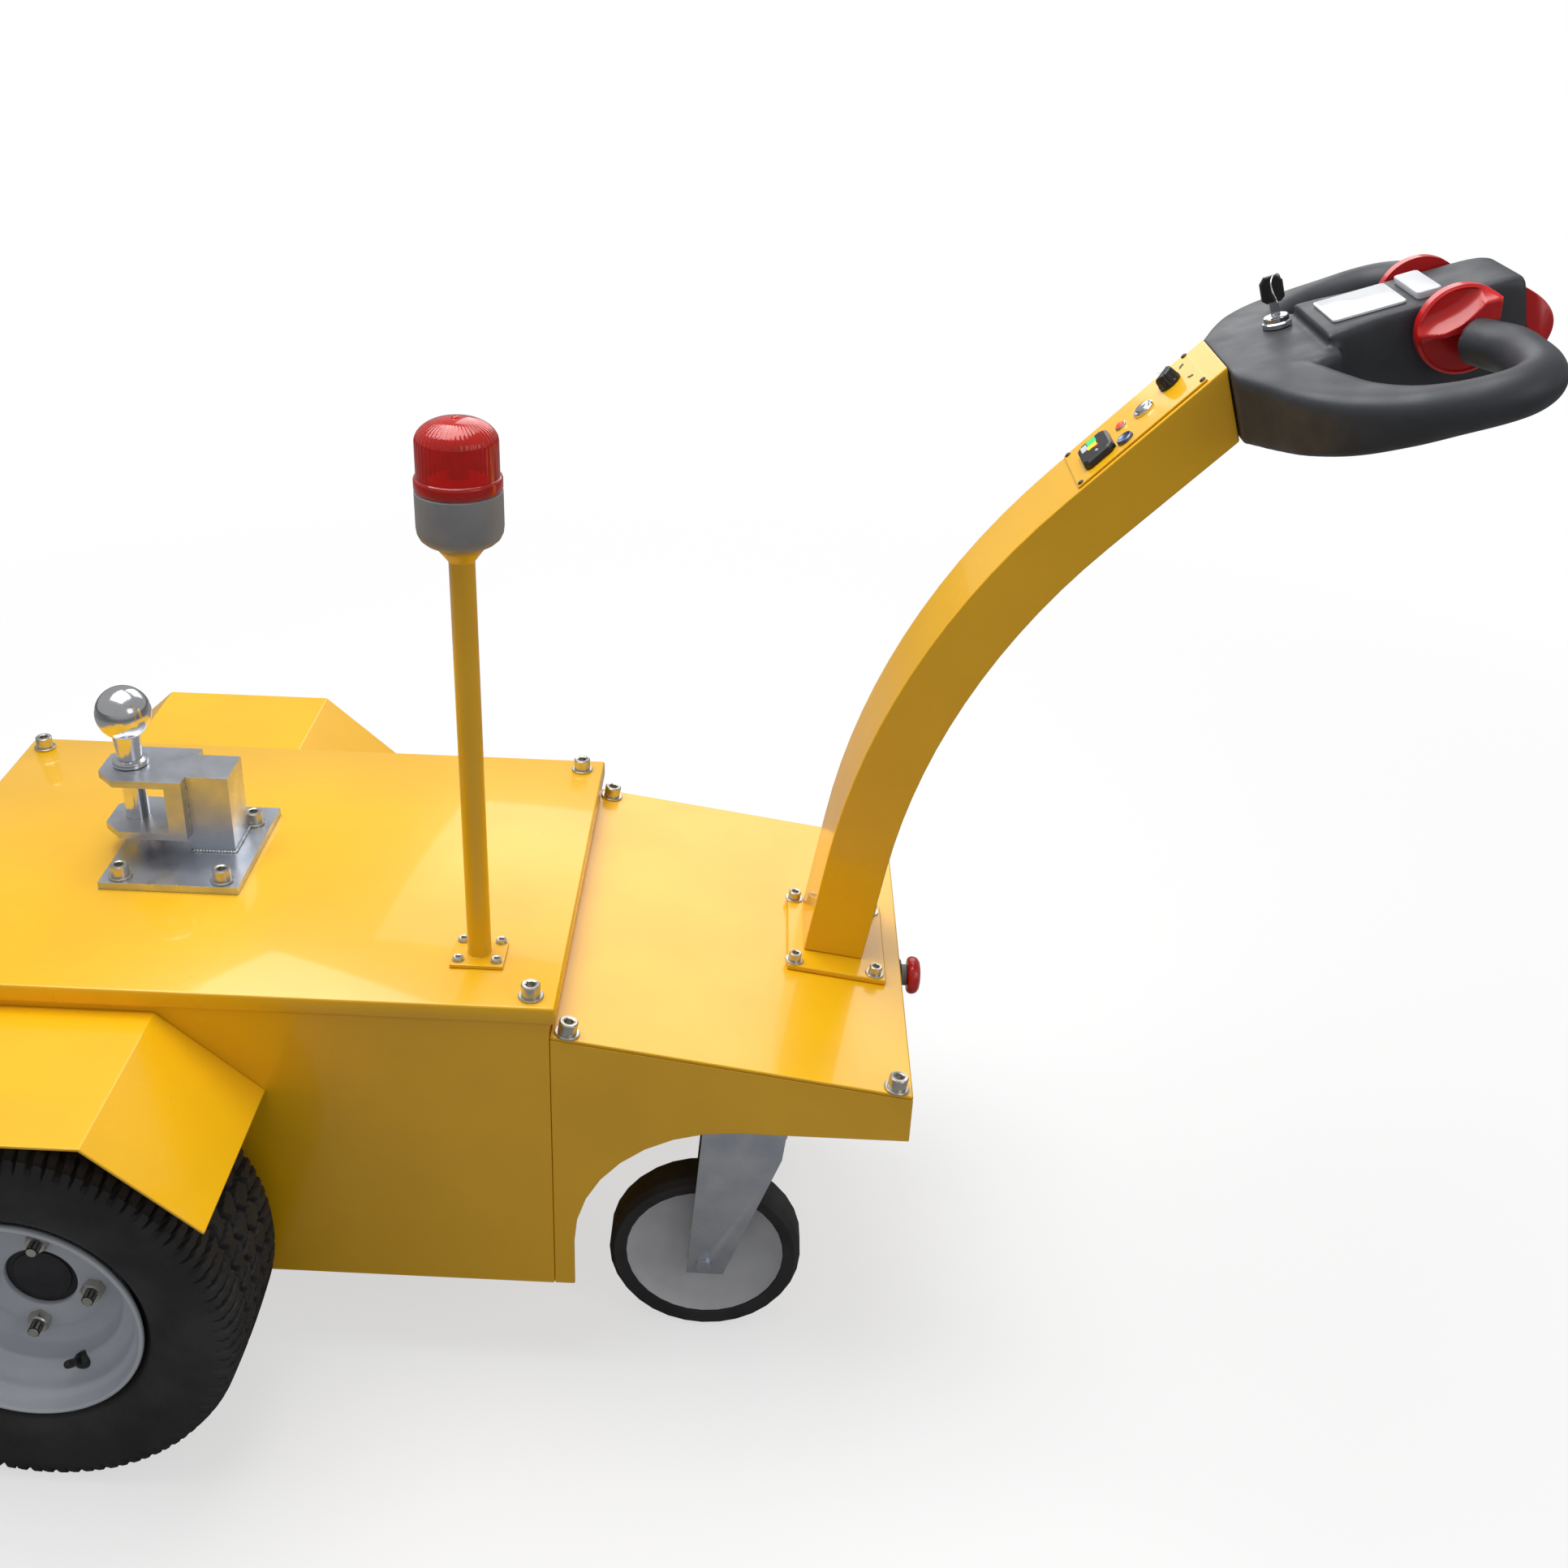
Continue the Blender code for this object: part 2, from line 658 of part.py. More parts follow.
# ---------------------------------------------------------------- tiller

def arm_line():
    """The arm's middle line as (x, z, lean) from its foot to its end."""
    lift = (ARM_PLATE[2] + 2 * GAP) / math.cos(math.atan(cover_slope()))
    lean = math.radians(ARM_LEAN)
    turn = math.radians(ARM_TURN)
    x = ARM_X
    z = cover_top(ARM_X) + lift
    line = [(x, z, lean)]
    x += ARM_STRAIGHT * math.sin(lean)
    z += ARM_STRAIGHT * math.cos(lean)
    centre = (x + ARM_RADIUS * math.cos(lean), z - ARM_RADIUS * math.sin(lean))
    for i in range(ARM_STEPS + 1):
        angle = lean + turn * i / ARM_STEPS
        reach = ARM_RADIUS * math.cos(angle)
        line.append((centre[0] - reach, centre[1] + ARM_RADIUS * math.sin(angle), angle))
    x, z, angle = line[-1]
    line.append((x + ARM_REACH * math.sin(angle), z + ARM_REACH * math.cos(angle), angle))
    return line


def arm_outline(depth, foot_cut, end_cut):
    """Outline of the arm in (x, z), cut level with its foot plate and square to the head."""
    line = arm_line()
    foot_slope = math.atan(-cover_slope())
    pitch = math.radians(HEAD_PITCH)
    upper, lower = [], []
    last = len(line) - 1
    for i, (x, z, lean) in enumerate(line):
        for run, sign in ((upper, -1), (lower, 1)):
            dx = sign * depth / 2 * math.cos(lean)
            dz = -sign * depth / 2 * math.sin(lean)
            slip = 0.0
            if i == 0:
                slip = sign * depth / 2 * math.tan(lean - foot_slope) - foot_cut
            if i == last:
                slip = end_cut - sign * depth / 2 / math.tan(lean + pitch)
            run.append((x + dx + slip * math.sin(lean), z + dz + slip * math.cos(lean)))
    return upper + lower[::-1]


def tiller_arm():
    """The folded box-section arm, open at both ends."""
    arm = side_outline("tiller_arm", arm_outline(ARM_DEPTH, 0, 0),
                       ARM_Y - ARM_WIDTH / 2, ARM_Y + ARM_WIDTH / 2)
    half = ARM_WIDTH / 2 - ARM_WALL
    hollow = side_outline("arm_hollow", arm_outline(ARM_DEPTH - 2 * ARM_WALL, 0.01, 0.01),
                          ARM_Y - half, ARM_Y + half)
    cut(arm, hollow)
    return finish(arm, YELLOW)


def arm_plate():
    """The arm's bolted foot plate."""
    long, wide, thick = ARM_PLATE
    plate = box("arm_foot_plate", (-long / 2, -wide / 2, -thick / 2), (long / 2, wide / 2, thick / 2))
    plate.matrix_world = slope_frame(ARM_X + 0.003, ARM_PLATE_Y, thick / 2 + GAP)
    return finish(plate, YELLOW)


def panel_frame():
    """A frame on the arm's upper face at its end: X runs down the arm, Z is square to it."""
    x, z, lean = arm_line()[-1]
    pitch = math.radians(HEAD_PITCH)
    slip = ARM_DEPTH / 2 / math.tan(lean + pitch)
    corner = Vector((x - ARM_DEPTH / 2 * math.cos(lean), ARM_Y, z + ARM_DEPTH / 2 * math.sin(lean)))
    corner += Vector((math.sin(lean), 0, math.cos(lean))) * slip
    down = Vector((-math.sin(lean), 0, -math.cos(lean)))
    out = Vector((-math.cos(lean), 0, math.sin(lean)))
    across = out.cross(down)
    turn = Matrix((down, across, out)).transposed().to_4x4()
    return Matrix.Translation(corner) @ turn


def control_panel():
    """The panel plate and what stands on it: knob, push buttons, lamp and battery gauge."""
    long, wide, thick = PANEL_SIZE
    frame = panel_frame()
    plate = box("control_panel", (-long / 2, -wide / 2, -thick / 2), (long / 2, wide / 2, thick / 2))
    plate.matrix_world = frame @ Matrix.Translation((PANEL_END + long / 2, 0, thick / 2 + GAP))
    finish(plate, YELLOW)
    top = thick + 2 * GAP
    rounds = (
        # name, along the arm, across it, radius, height, look
        ("speed_knob", 0.0450, -0.0080, 0.0108, 0.0130, CHARCOAL),
        ("start_button", 0.0765, 0.0015, 0.0105, 0.0050, STEEL),
        ("power_lamp", 0.1012, -0.0045, 0.0058, 0.0045, RED),
        ("horn_button", 0.1035, 0.0298, 0.0082, 0.0035, STEEL),
    )
    for name, along, across, radius, height, look in rounds:
        piece = rod(name, radius, height, frame @ Matrix.Translation((along, across, top)), FINE)
        finish(piece, look, True)
    gauge = box("battery_gauge", (-0.0165, -0.024, -0.0035), (0.0165, 0.024, 0.0035))
    gauge.matrix_world = frame @ Matrix.Translation((0.130, 0.008, top + 0.0035))
    bevel(gauge, 0.002)
    finish(gauge, CHARCOAL)


def head_frame():
    """The tiller head's frame: X along it, Y across it, Z up from its deck."""
    turn = Matrix.Rotation(-math.radians(HEAD_PITCH), 4, "Y")
    return Matrix.Translation((HEAD_X, ARM_Y, HEAD_Z)) @ turn


def loop_points(sign):
    """Middle line of one handle loop, from the neck out, along and back to the throttle."""
    out = LOOP_OUT
    down = -LOOP_DOWN
    corner = 0.030
    points = [(-0.050, sign * 0.095, down), (-0.030, sign * 0.140, down), (-0.004, sign * 0.175, down),
              (0.028, sign * 0.190, down)]
    bend = arc((LOOP_END - corner, out - corner), corner, corner, 90, 0, 4)
    points += [(s, sign * y, down) for s, y in bend]
    points.append((LOOP_END + 0.001, sign * 0.135, down + 0.002))
    points.append((LOOP_END - 0.002, sign * 0.110, down + 0.005))
    points.append((THROTTLE_S + 0.012, sign * 0.091, down + 0.008))
    return points


def tiller_head():
    """Neck, spine and two handle loops moulded as one."""
    frame = head_frame()
    rear = SPINE_REAR / 2
    front = SPINE_FRONT / 2
    along, waist = SPINE_WAIST[0], SPINE_WAIST[1] / 2
    spine_shape = [(0, -rear), (along, -waist), (SPINE_LENGTH, -front), (SPINE_LENGTH, front),
                   (along, waist), (0, rear)]
    spine = outline("tiller_head", spine_shape, SPINE_HEIGHT,
                    frame @ Matrix.Translation((0, 0, -SPINE_HEIGHT / 2)))
    bevel(spine, 0.006, 1)
    half = ARM_WIDTH / 2
    neck_shape = [(HEAD_NECK_S + GAP, -half), (-0.040, -0.112), (-0.012, -0.130), (0.020, -0.090), (0.030, 0),
                  (0.020, 0.090), (-0.012, 0.130), (-0.040, 0.112), (HEAD_NECK_S + GAP, half)]
    neck = outline("head_neck", neck_shape, NECK_HEIGHT,
                   frame @ Matrix.Translation((0, 0, NECK_TOP - NECK_HEIGHT / 2)))
    join(spine, neck)
    for side, sign in (("right", -1), ("left", 1)):
        join(spine, tube("head_loop_" + side, loop_points(sign), LOOP_RADIUS, frame))
    return finish(spine, CHARCOAL, True)


def head_controls():
    """Throttles each side of the spine, belly button, display and key switch."""
    frame = head_frame()
    for side, sign in (("right", -1), ("left", 1)):
        wall = SPINE_WAIST[1] / 2 - 0.0005
        spot = frame @ along_y((THROTTLE_S, sign * (wall + GAP + 0.001), THROTTLE_H), sign)
        throttle = rod("throttle_" + side, THROTTLE_RADIUS, THROTTLE_THICK, spot, FINE)
        finish(throttle, RED, True)
    start = SPINE_LENGTH + GAP
    tip = start + BELLY_REACH
    belly_shape = [(start, -0.012), (start + 0.012, -0.020), (tip - 0.006, -0.036), (tip, -BELLY_LOW),
                   (tip - 0.012, -0.078), (start, -0.078)]
    half = SPINE_FRONT / 2 - 0.008
    belly = outline("belly_button", belly_shape, 2 * half, frame @ Matrix.Rotation(math.pi / 2, 4, "X"))
    finish(belly, RED)
    button = box("signal_button", (-0.0105, -0.034, -0.003), (0.0105, 0.034, 0.003))
    button.matrix_world = frame @ Matrix.Translation((0.0925, -0.002, 0.003 + GAP))
    finish(button, GREY)
    plate = box("display_blank", (-0.031, -0.034, -0.001), (0.031, 0.034, 0.001))
    plate.matrix_world = frame @ Matrix.Translation((0.043, 0.0, 0.001 + GAP))
    finish(plate, GREY)


def key_switch():
    """Key switch barrel on the left flare of the neck, and its key."""
    frame = head_frame()
    spot = frame @ Matrix.Translation((*KEY_SPOT, NECK_TOP + GAP))
    barrel = rod("key_switch", KEY_BARREL[0], KEY_BARREL[1], spot, FINE)
    finish(barrel, STEEL, True)
    blade = KEY_BARREL[1] + GAP
    neck = blade + 0.012
    head = neck + 0.024
    shape = [(-0.004, blade), (0.004, blade), (0.004, neck), (0.010, neck), (0.010, head - 0.005),
             (0.005, head), (-0.005, head), (-0.010, head - 0.005), (-0.010, neck), (-0.004, neck)]
    key = outline("switch_key", shape, 0.005, spot @ Matrix.Rotation(math.pi / 2, 4, "X"))
    finish(key, CHARCOAL)


def emergency_stop():
    """Barrel through the skirt and its mushroom button."""
    frame = Matrix.Translation((FRONT_END - SHEET - 0.020, 0, STOP_Z)) @ Matrix.Rotation(math.pi / 2, 4, "Y")
    length = 0.020 + SHEET + 0.010
    barrel = rod("stop_barrel", STOP_BARREL, length, frame, FINE)
    finish(barrel, GREY, True)
    head = [(0, 0.014), (STOP_RADIUS - 0.006, 0.014), (STOP_RADIUS - 0.001, 0.011), (STOP_RADIUS, 0.003),
            (STOP_RADIUS - 0.003, 0), (0, 0)]
    button = turned("stop_button", head, frame @ Matrix.Translation((0, 0, length + GAP)), 24)
    finish(button, RED, True)


# ---------------------------------------------------------------- casters

def caster(side, sign):
    """Top plate, swivelling fork and wheel of one caster."""
    y = sign * CASTER_Y
    long, wide, thick = CASTER_PLATE
    deck = SKIRT_BOTTOM - GAP
    plate = box("caster_plate_" + side, (CASTER_X - long / 2, y - wide / 2, deck - thick),
                (CASTER_X + long / 2, y + wide / 2, deck))
    finish(plate, ZINC)
    swivel = empty("swivel_" + side, (CASTER_X, y, FORK_TOP))
    half = CASTER_WIDTH / 2 + RUN
    race = deck - thick - GAP
    wheel_x = CASTER_X - CASTER_TRAIL
    low = FORK_TOP - 0.004
    bearing = [(0, race), (0.030, race), (0.032, race - 0.010), (0.026, low), (0, low)]
    fork = turned("caster_fork_" + side, bearing, Matrix.Translation((CASTER_X, y, 0)), FINE)
    crown = box("fork_crown_" + side, (wheel_x - 0.005, y - half - FORK_SHEET, FORK_TOP - 0.012),
                (CASTER_X + 0.034, y + half + FORK_SHEET, FORK_TOP))
    join(fork, crown)
    leg = [(CASTER_X + 0.034, FORK_TOP - 0.002), (CASTER_X + 0.030, FORK_TOP - 0.040),
           (wheel_x + 0.020, CASTER_WHEEL - 0.014), (wheel_x - 0.018, CASTER_WHEEL - 0.014),
           (wheel_x - 0.005, FORK_TOP - 0.002)]
    for i, inner in enumerate((-half - FORK_SHEET, half)):
        join(fork, side_outline(f"fork_leg_{side}_{i}", leg, y + inner, y + inner + FORK_SHEET))
    reach = half + FORK_SHEET + 0.006
    start = along_y((wheel_x, y - reach, CASTER_WHEEL), 1)
    pin = rod("fork_pin_" + side, CASTER_PIN, 2 * reach, start, STEPS)
    join(fork, pin)
    finish(fork, ZINC)
    parent(fork, swivel)
    axle = empty("caster_axle_" + side, (wheel_x, y, CASTER_WHEEL))
    frame = along_y((wheel_x, y, CASTER_WHEEL), 1)
    wide = CASTER_WIDTH / 2
    core = CASTER_WHEEL - 0.018
    tread = turned("caster_tyre_" + side, [(core + GAP, wide - 0.003), (CASTER_WHEEL - 0.005, wide),
                                           (CASTER_WHEEL, wide - 0.008), (CASTER_WHEEL, 0.008 - wide),
                                           (CASTER_WHEEL - 0.005, -wide), (core + GAP, 0.003 - wide)],
                   frame)
    finish(tread, RUBBER, True)
    bore = CASTER_PIN + GAP
    boss = wide + 0.001
    hub = turned("caster_hub_" + side, [(0.018, boss), (0.020, 0.006), (core - 0.010, 0.006),
                                        (core, wide - 0.005), (core, 0.005 - wide), (core - 0.010, -0.006),
                                        (0.020, -0.006), (0.018, -boss), (bore, -boss), (bore, boss)],
                 frame)
    finish(hub, GREY, True)
    for piece in (tread, hub):
        parent(piece, axle)
    parent(axle, swivel)


def centre_x():
    """Middle of the tug's length, from the back of the tyres to the belly button."""
    pitch = math.radians(HEAD_PITCH)
    along = SPINE_LENGTH + GAP + BELLY_REACH
    tip = HEAD_X + along * math.cos(pitch) + BELLY_LOW * math.sin(pitch)
    return (tip - TYRE_RADIUS) / 2


def centre_all():
    """Move every piece and cutter so that the origin is under the middle of the tug."""
    bpy.context.view_layer.update()
    for piece in bpy.data.objects:
        if piece.parent is None:
            piece.location.x -= centre_x()


def main():
    for old in list(bpy.data.objects):
        bpy.data.objects.remove(old)
    collection(PARTS)
    collection(CUTTERS)
    box_body()
    lid()
    front_frame()
    sloped_cover()
    axle_tube()
    motor_block()
    battery_block()
    for side, sign in (("right", -1), ("left", 1)):
        fender(side, sign)
        drive_wheel(side, sign)
        caster(side, sign)
    tow_hitch()
    tow_pin()
    pin_ring()
    lamp()
    arm_plate()
    tiller_arm()
    control_panel()
    tiller_head()
    head_controls()
    key_switch()
    emergency_stop()
    centre_all()


if __name__ == "__main__":
    main()
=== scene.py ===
"""Looks of a walk-behind electric tow tug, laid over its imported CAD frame.

Every new piece is a grid of points worked out with numpy: a turned profile, a section carried
along a path, or a flat outline given a thickness. Each function says its formula in words.
Metres, +Z up, +X towards the tiller, the floor at z = 0.
"""

import math

import bmesh
import bpy
import numpy as np
from bpy.props import FloatProperty, FloatVectorProperty, IntProperty, PointerProperty
from mathutils import Matrix, Vector


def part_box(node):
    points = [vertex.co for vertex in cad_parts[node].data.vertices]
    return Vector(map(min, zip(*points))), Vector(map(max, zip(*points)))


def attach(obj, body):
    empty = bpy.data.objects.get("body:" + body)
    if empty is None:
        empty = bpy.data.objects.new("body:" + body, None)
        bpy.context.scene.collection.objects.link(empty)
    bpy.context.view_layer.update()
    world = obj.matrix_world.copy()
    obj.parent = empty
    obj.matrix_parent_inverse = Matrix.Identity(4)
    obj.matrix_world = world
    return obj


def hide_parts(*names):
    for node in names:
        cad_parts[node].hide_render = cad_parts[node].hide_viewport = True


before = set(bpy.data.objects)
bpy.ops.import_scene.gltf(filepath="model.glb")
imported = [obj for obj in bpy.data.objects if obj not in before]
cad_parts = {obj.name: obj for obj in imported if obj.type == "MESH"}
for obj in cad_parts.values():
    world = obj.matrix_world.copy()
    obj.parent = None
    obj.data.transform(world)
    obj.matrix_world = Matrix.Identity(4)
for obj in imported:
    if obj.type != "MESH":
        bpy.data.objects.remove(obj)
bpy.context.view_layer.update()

bl_info = {
    "name": "Tow tug looks",
    "version": (1, 0, 0),
    "blender": (4, 5, 0),
    "location": "View3D > Sidebar > Tow Tug",
    "description": "Builds the visible pieces and finishes of a walk-behind tow tug",
    "category": "Add Mesh",
}

SIDES = (("right", -1), ("left", 1))
PITCH = math.radians(18.6)          # tiller head above the level
LEAN = math.radians(44.1)           # tiller arm's end from upright
DRIVE_X = sum(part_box("tyre_left")[i].x for i in (0, 1)) / 2
TYRE_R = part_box("tyre_left")[1].z / 2
LID_LOW, LID_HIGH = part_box("lid")
COVER_LOW, COVER_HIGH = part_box("sloped_cover")
VALVE_TURN = -66.0                  # degrees round the rim


# ---------------------------------------------------------------- shapes

def quads(rows, cols, wrap_rows=False, wrap_cols=False):
    """Faces of a rows x cols grid: each joins a point, its right one, the one above and the upper right."""
    r = np.arange(rows if wrap_rows else rows - 1)[:, None]
    c = np.arange(cols if wrap_cols else cols - 1)[None, :]
    r2, c2 = (r + 1) % rows, (c + 1) % cols
    found = np.stack([r * cols + c, r * cols + c2, r2 * cols + c2, r2 * cols + c], axis=-1)
    return found.reshape(-1, 4).tolist()


def turned(profile, steps=48):
    """A profile of (radius, height) turned about Z: x = r cos a, y = r sin a, z = h."""
    run = np.asarray(profile, float)
    a = np.linspace(0, math.tau, steps, endpoint=False)[None, :]
    r, h = run[:, :1], run[:, 1:]
    points = np.stack([r * np.cos(a), r * np.sin(a), h + 0 * a], axis=-1).reshape(-1, 3)
    return points, quads(len(run), steps, wrap_cols=True)


def swept(path, radius, sides=12, closed=False):
    """A round section carried along a path: point = path + radius (u cos a + v sin a), with u, v square to it."""
    p = np.asarray(path, float)
    ahead = np.roll(p, -1, 0) - np.roll(p, 1, 0)
    if not closed:
        ahead[0], ahead[-1] = p[1] - p[0], p[-1] - p[-2]
    ahead /= np.linalg.norm(ahead, axis=1)[:, None]
    spread = p - p.mean(0)
    normal = np.linalg.svd(spread)[2][-1]
    u = np.cross(ahead, normal)
    u /= np.linalg.norm(u, axis=1)[:, None] + 1e-12
    v = np.cross(ahead, u)
    a = np.linspace(0, math.tau, sides, endpoint=False)[None, :, None]
    size = np.broadcast_to(np.asarray(radius, float), (len(p),))[:, None, None]
    ring = p[:, None] + size * (u[:, None] * np.cos(a) + v[:, None] * np.sin(a))
    faces = quads(len(p), sides, wrap_rows=closed, wrap_cols=True)
    if not closed:
        faces += [list(range(sides))[::-1], list(range((len(p) - 1) * sides, len(p) * sides))]
    return ring.reshape(-1, 3), faces


def slab(outline, low, high):
    """A flat outline in XY given walls from low to high: two copies of it joined edge to edge."""
    flat = np.asarray(outline, float)
    n = len(flat)
    lower = np.column_stack([flat, np.full(n, low)])
    upper = np.column_stack([flat, np.full(n, high)])
    faces = quads(2, n, wrap_cols=True) + [list(range(n))[::-1], list(range(n, 2 * n))]
    return np.vstack([lower, upper]), faces


def rounded(half_x, half_y, radius, steps=4):
    """A rectangle with round corners: each corner is a quarter circle about its own centre."""
    a = np.linspace(0, math.pi / 2, steps + 1)
    corners = []
    for i, (sx, sy) in enumerate(((1, 1), (-1, 1), (-1, -1), (1, -1))):
        centre = np.array([sx * (half_x - radius), sy * (half_y - radius)])
        turn = a + i * math.pi / 2
        corners.append(centre + radius * np.column_stack([np.cos(turn), np.sin(turn)]))
    return np.vstack(corners)


def moved(shape, matrix):
    """A shape's points put through a 4 x 4 matrix."""
    points, faces = shape
    m = np.array(matrix, float)
    return points @ m[:3, :3].T + m[:3, 3], faces


def merged(shapes):
    """Several shapes as one list of points and faces."""
    points, faces, count = [], [], 0
    for more, found in shapes:
        points.append(more)
        faces += [[i + count for i in face] for face in found]
        count += len(more)
    return np.vstack(points), faces


def piece(name, shapes, look, body, replaces=(), smooth=35, weld=0.00001):
    """An object from shapes, closed and facing out, that rides on a body."""
    points, faces = merged(shapes)
    mesh = bpy.data.meshes.new(name)
    mesh.from_pydata(points.tolist(), [], faces)
    clean = bmesh.new()
    clean.from_mesh(mesh)
    bmesh.ops.remove_doubles(clean, verts=clean.verts, dist=weld)
    bmesh.ops.recalc_face_normals(clean, faces=clean.faces)
    clean.to_mesh(mesh)
    clean.free()
    made = bpy.data.objects.new(name, mesh)
    bpy.context.scene.collection.objects.link(made)
    mesh.materials.append(look)
    if smooth:
        mesh.shade_smooth()
        mesh.set_sharp_from_angle(angle=math.radians(smooth))
    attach(made, body)
    if replaces:
        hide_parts(*replaces)
    return made


def dressed(node, look, body, width=0.0, segments=2, name=None):
    """A CAD node's shape as one merged skin with its edges rounded."""
    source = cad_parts[node]
    mesh = source.data.copy()
    mesh.materials.clear()
    mesh.materials.append(look)
    clean = bmesh.new()
    clean.from_mesh(mesh)
    bmesh.ops.remove_doubles(clean, verts=clean.verts, dist=0.00001)
    bmesh.ops.dissolve_limit(clean, angle_limit=math.radians(1), verts=clean.verts, edges=clean.edges)
    clean.to_mesh(mesh)
    clean.free()
    made = bpy.data.objects.new(name or node + "_skin", mesh)
    bpy.context.scene.collection.objects.link(made)
    mesh.shade_smooth()
    mesh.set_sharp_from_angle(angle=math.radians(35))
    if width:
        edge = made.modifiers.new("edges", "BEVEL")
        edge.width = width
        edge.segments = segments
        edge.limit_method = "ANGLE"
        edge.angle_limit = math.radians(30)
        edge.harden_normals = True
    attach(made, body)
    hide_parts(node)
    return made


# ---------------------------------------------------------------- finishes

def principled(name, colour, roughness, metallic=0.0):
    """A Principled material and its node tree."""
    made = bpy.data.materials.new(name)
    made.use_nodes = True
    tree = made.node_tree
    shader = tree.nodes["Principled BSDF"]
    shader.inputs["Base Color"].default_value = (*colour, 1)
    shader.inputs["Roughness"].default_value = roughness
    shader.inputs["Metallic"].default_value = metallic
    return made, tree, shader


def node(tree, kind, **values):
    """A node with its inputs set by name."""
    made = tree.nodes.new(kind)
    for key, value in values.items():
        made.inputs[key.replace("_", " ")].default_value = value
    return made


def noise(tree, scale, detail=3.0, rough=0.5):
    """Noise over the object's own coordinates."""
    place = tree.nodes.new("ShaderNodeTexCoord")
    made = node(tree, "ShaderNodeTexNoise", Scale=scale, Detail=detail, Roughness=rough)
    tree.links.new(place.outputs["Object"], made.inputs["Vector"])
    return made


def bumped(tree, shader, source, strength, distance):
    """Bump from a node's first output into the shader's normal."""
    bump = node(tree, "ShaderNodeBump", Strength=strength, Distance=distance)
    tree.links.new(source.outputs[0], bump.inputs["Height"])
    tree.links.new(bump.outputs["Normal"], shader.inputs["Normal"])
    return bump


def ranged(tree, source, low, high, bottom, top):
    """A value carried from low..high to bottom..top."""
    made = tree.nodes.new("ShaderNodeMapRange")
    for key, value in (("From Min", low), ("From Max", high), ("To Min", bottom), ("To Max", top)):
        made.inputs[key].default_value = value
    tree.links.new(source, made.inputs["Value"])
    return made


def tinted(tree, shader, source, first, second, low=0.35, high=0.65):
    """Base colour that runs from first to second with a noise."""
    ramp = tree.nodes.new("ShaderNodeValToRGB")
    ramp.color_ramp.elements[0].position = low
    ramp.color_ramp.elements[1].position = high
    ramp.color_ramp.elements[0].color = (*first, 1)
    ramp.color_ramp.elements[1].color = (*second, 1)
    tree.links.new(source, ramp.inputs["Fac"])
    tree.links.new(ramp.outputs["Color"], shader.inputs["Base Color"])
    return ramp


def varied(name, first, second, scale, rough, metallic=0.0, grain=None, coat=0.0):
    """A finish whose colour and roughness drift with noise, with a fine bump."""
    made, tree, shader = principled(name, first, rough[0], metallic)
    drift = noise(tree, scale)
    tinted(tree, shader, drift.outputs[0], first, second)
    gloss = ranged(tree, drift.outputs[0], 0.3, 0.7, *rough)
    tree.links.new(gloss.outputs[0], shader.inputs["Roughness"])
    if grain:
        bumped(tree, shader, noise(tree, grain[0], 2.0), grain[1], grain[2])
    shader.inputs["Coat Weight"].default_value = coat
    shader.inputs["Coat Roughness"].default_value = 0.06
    return made


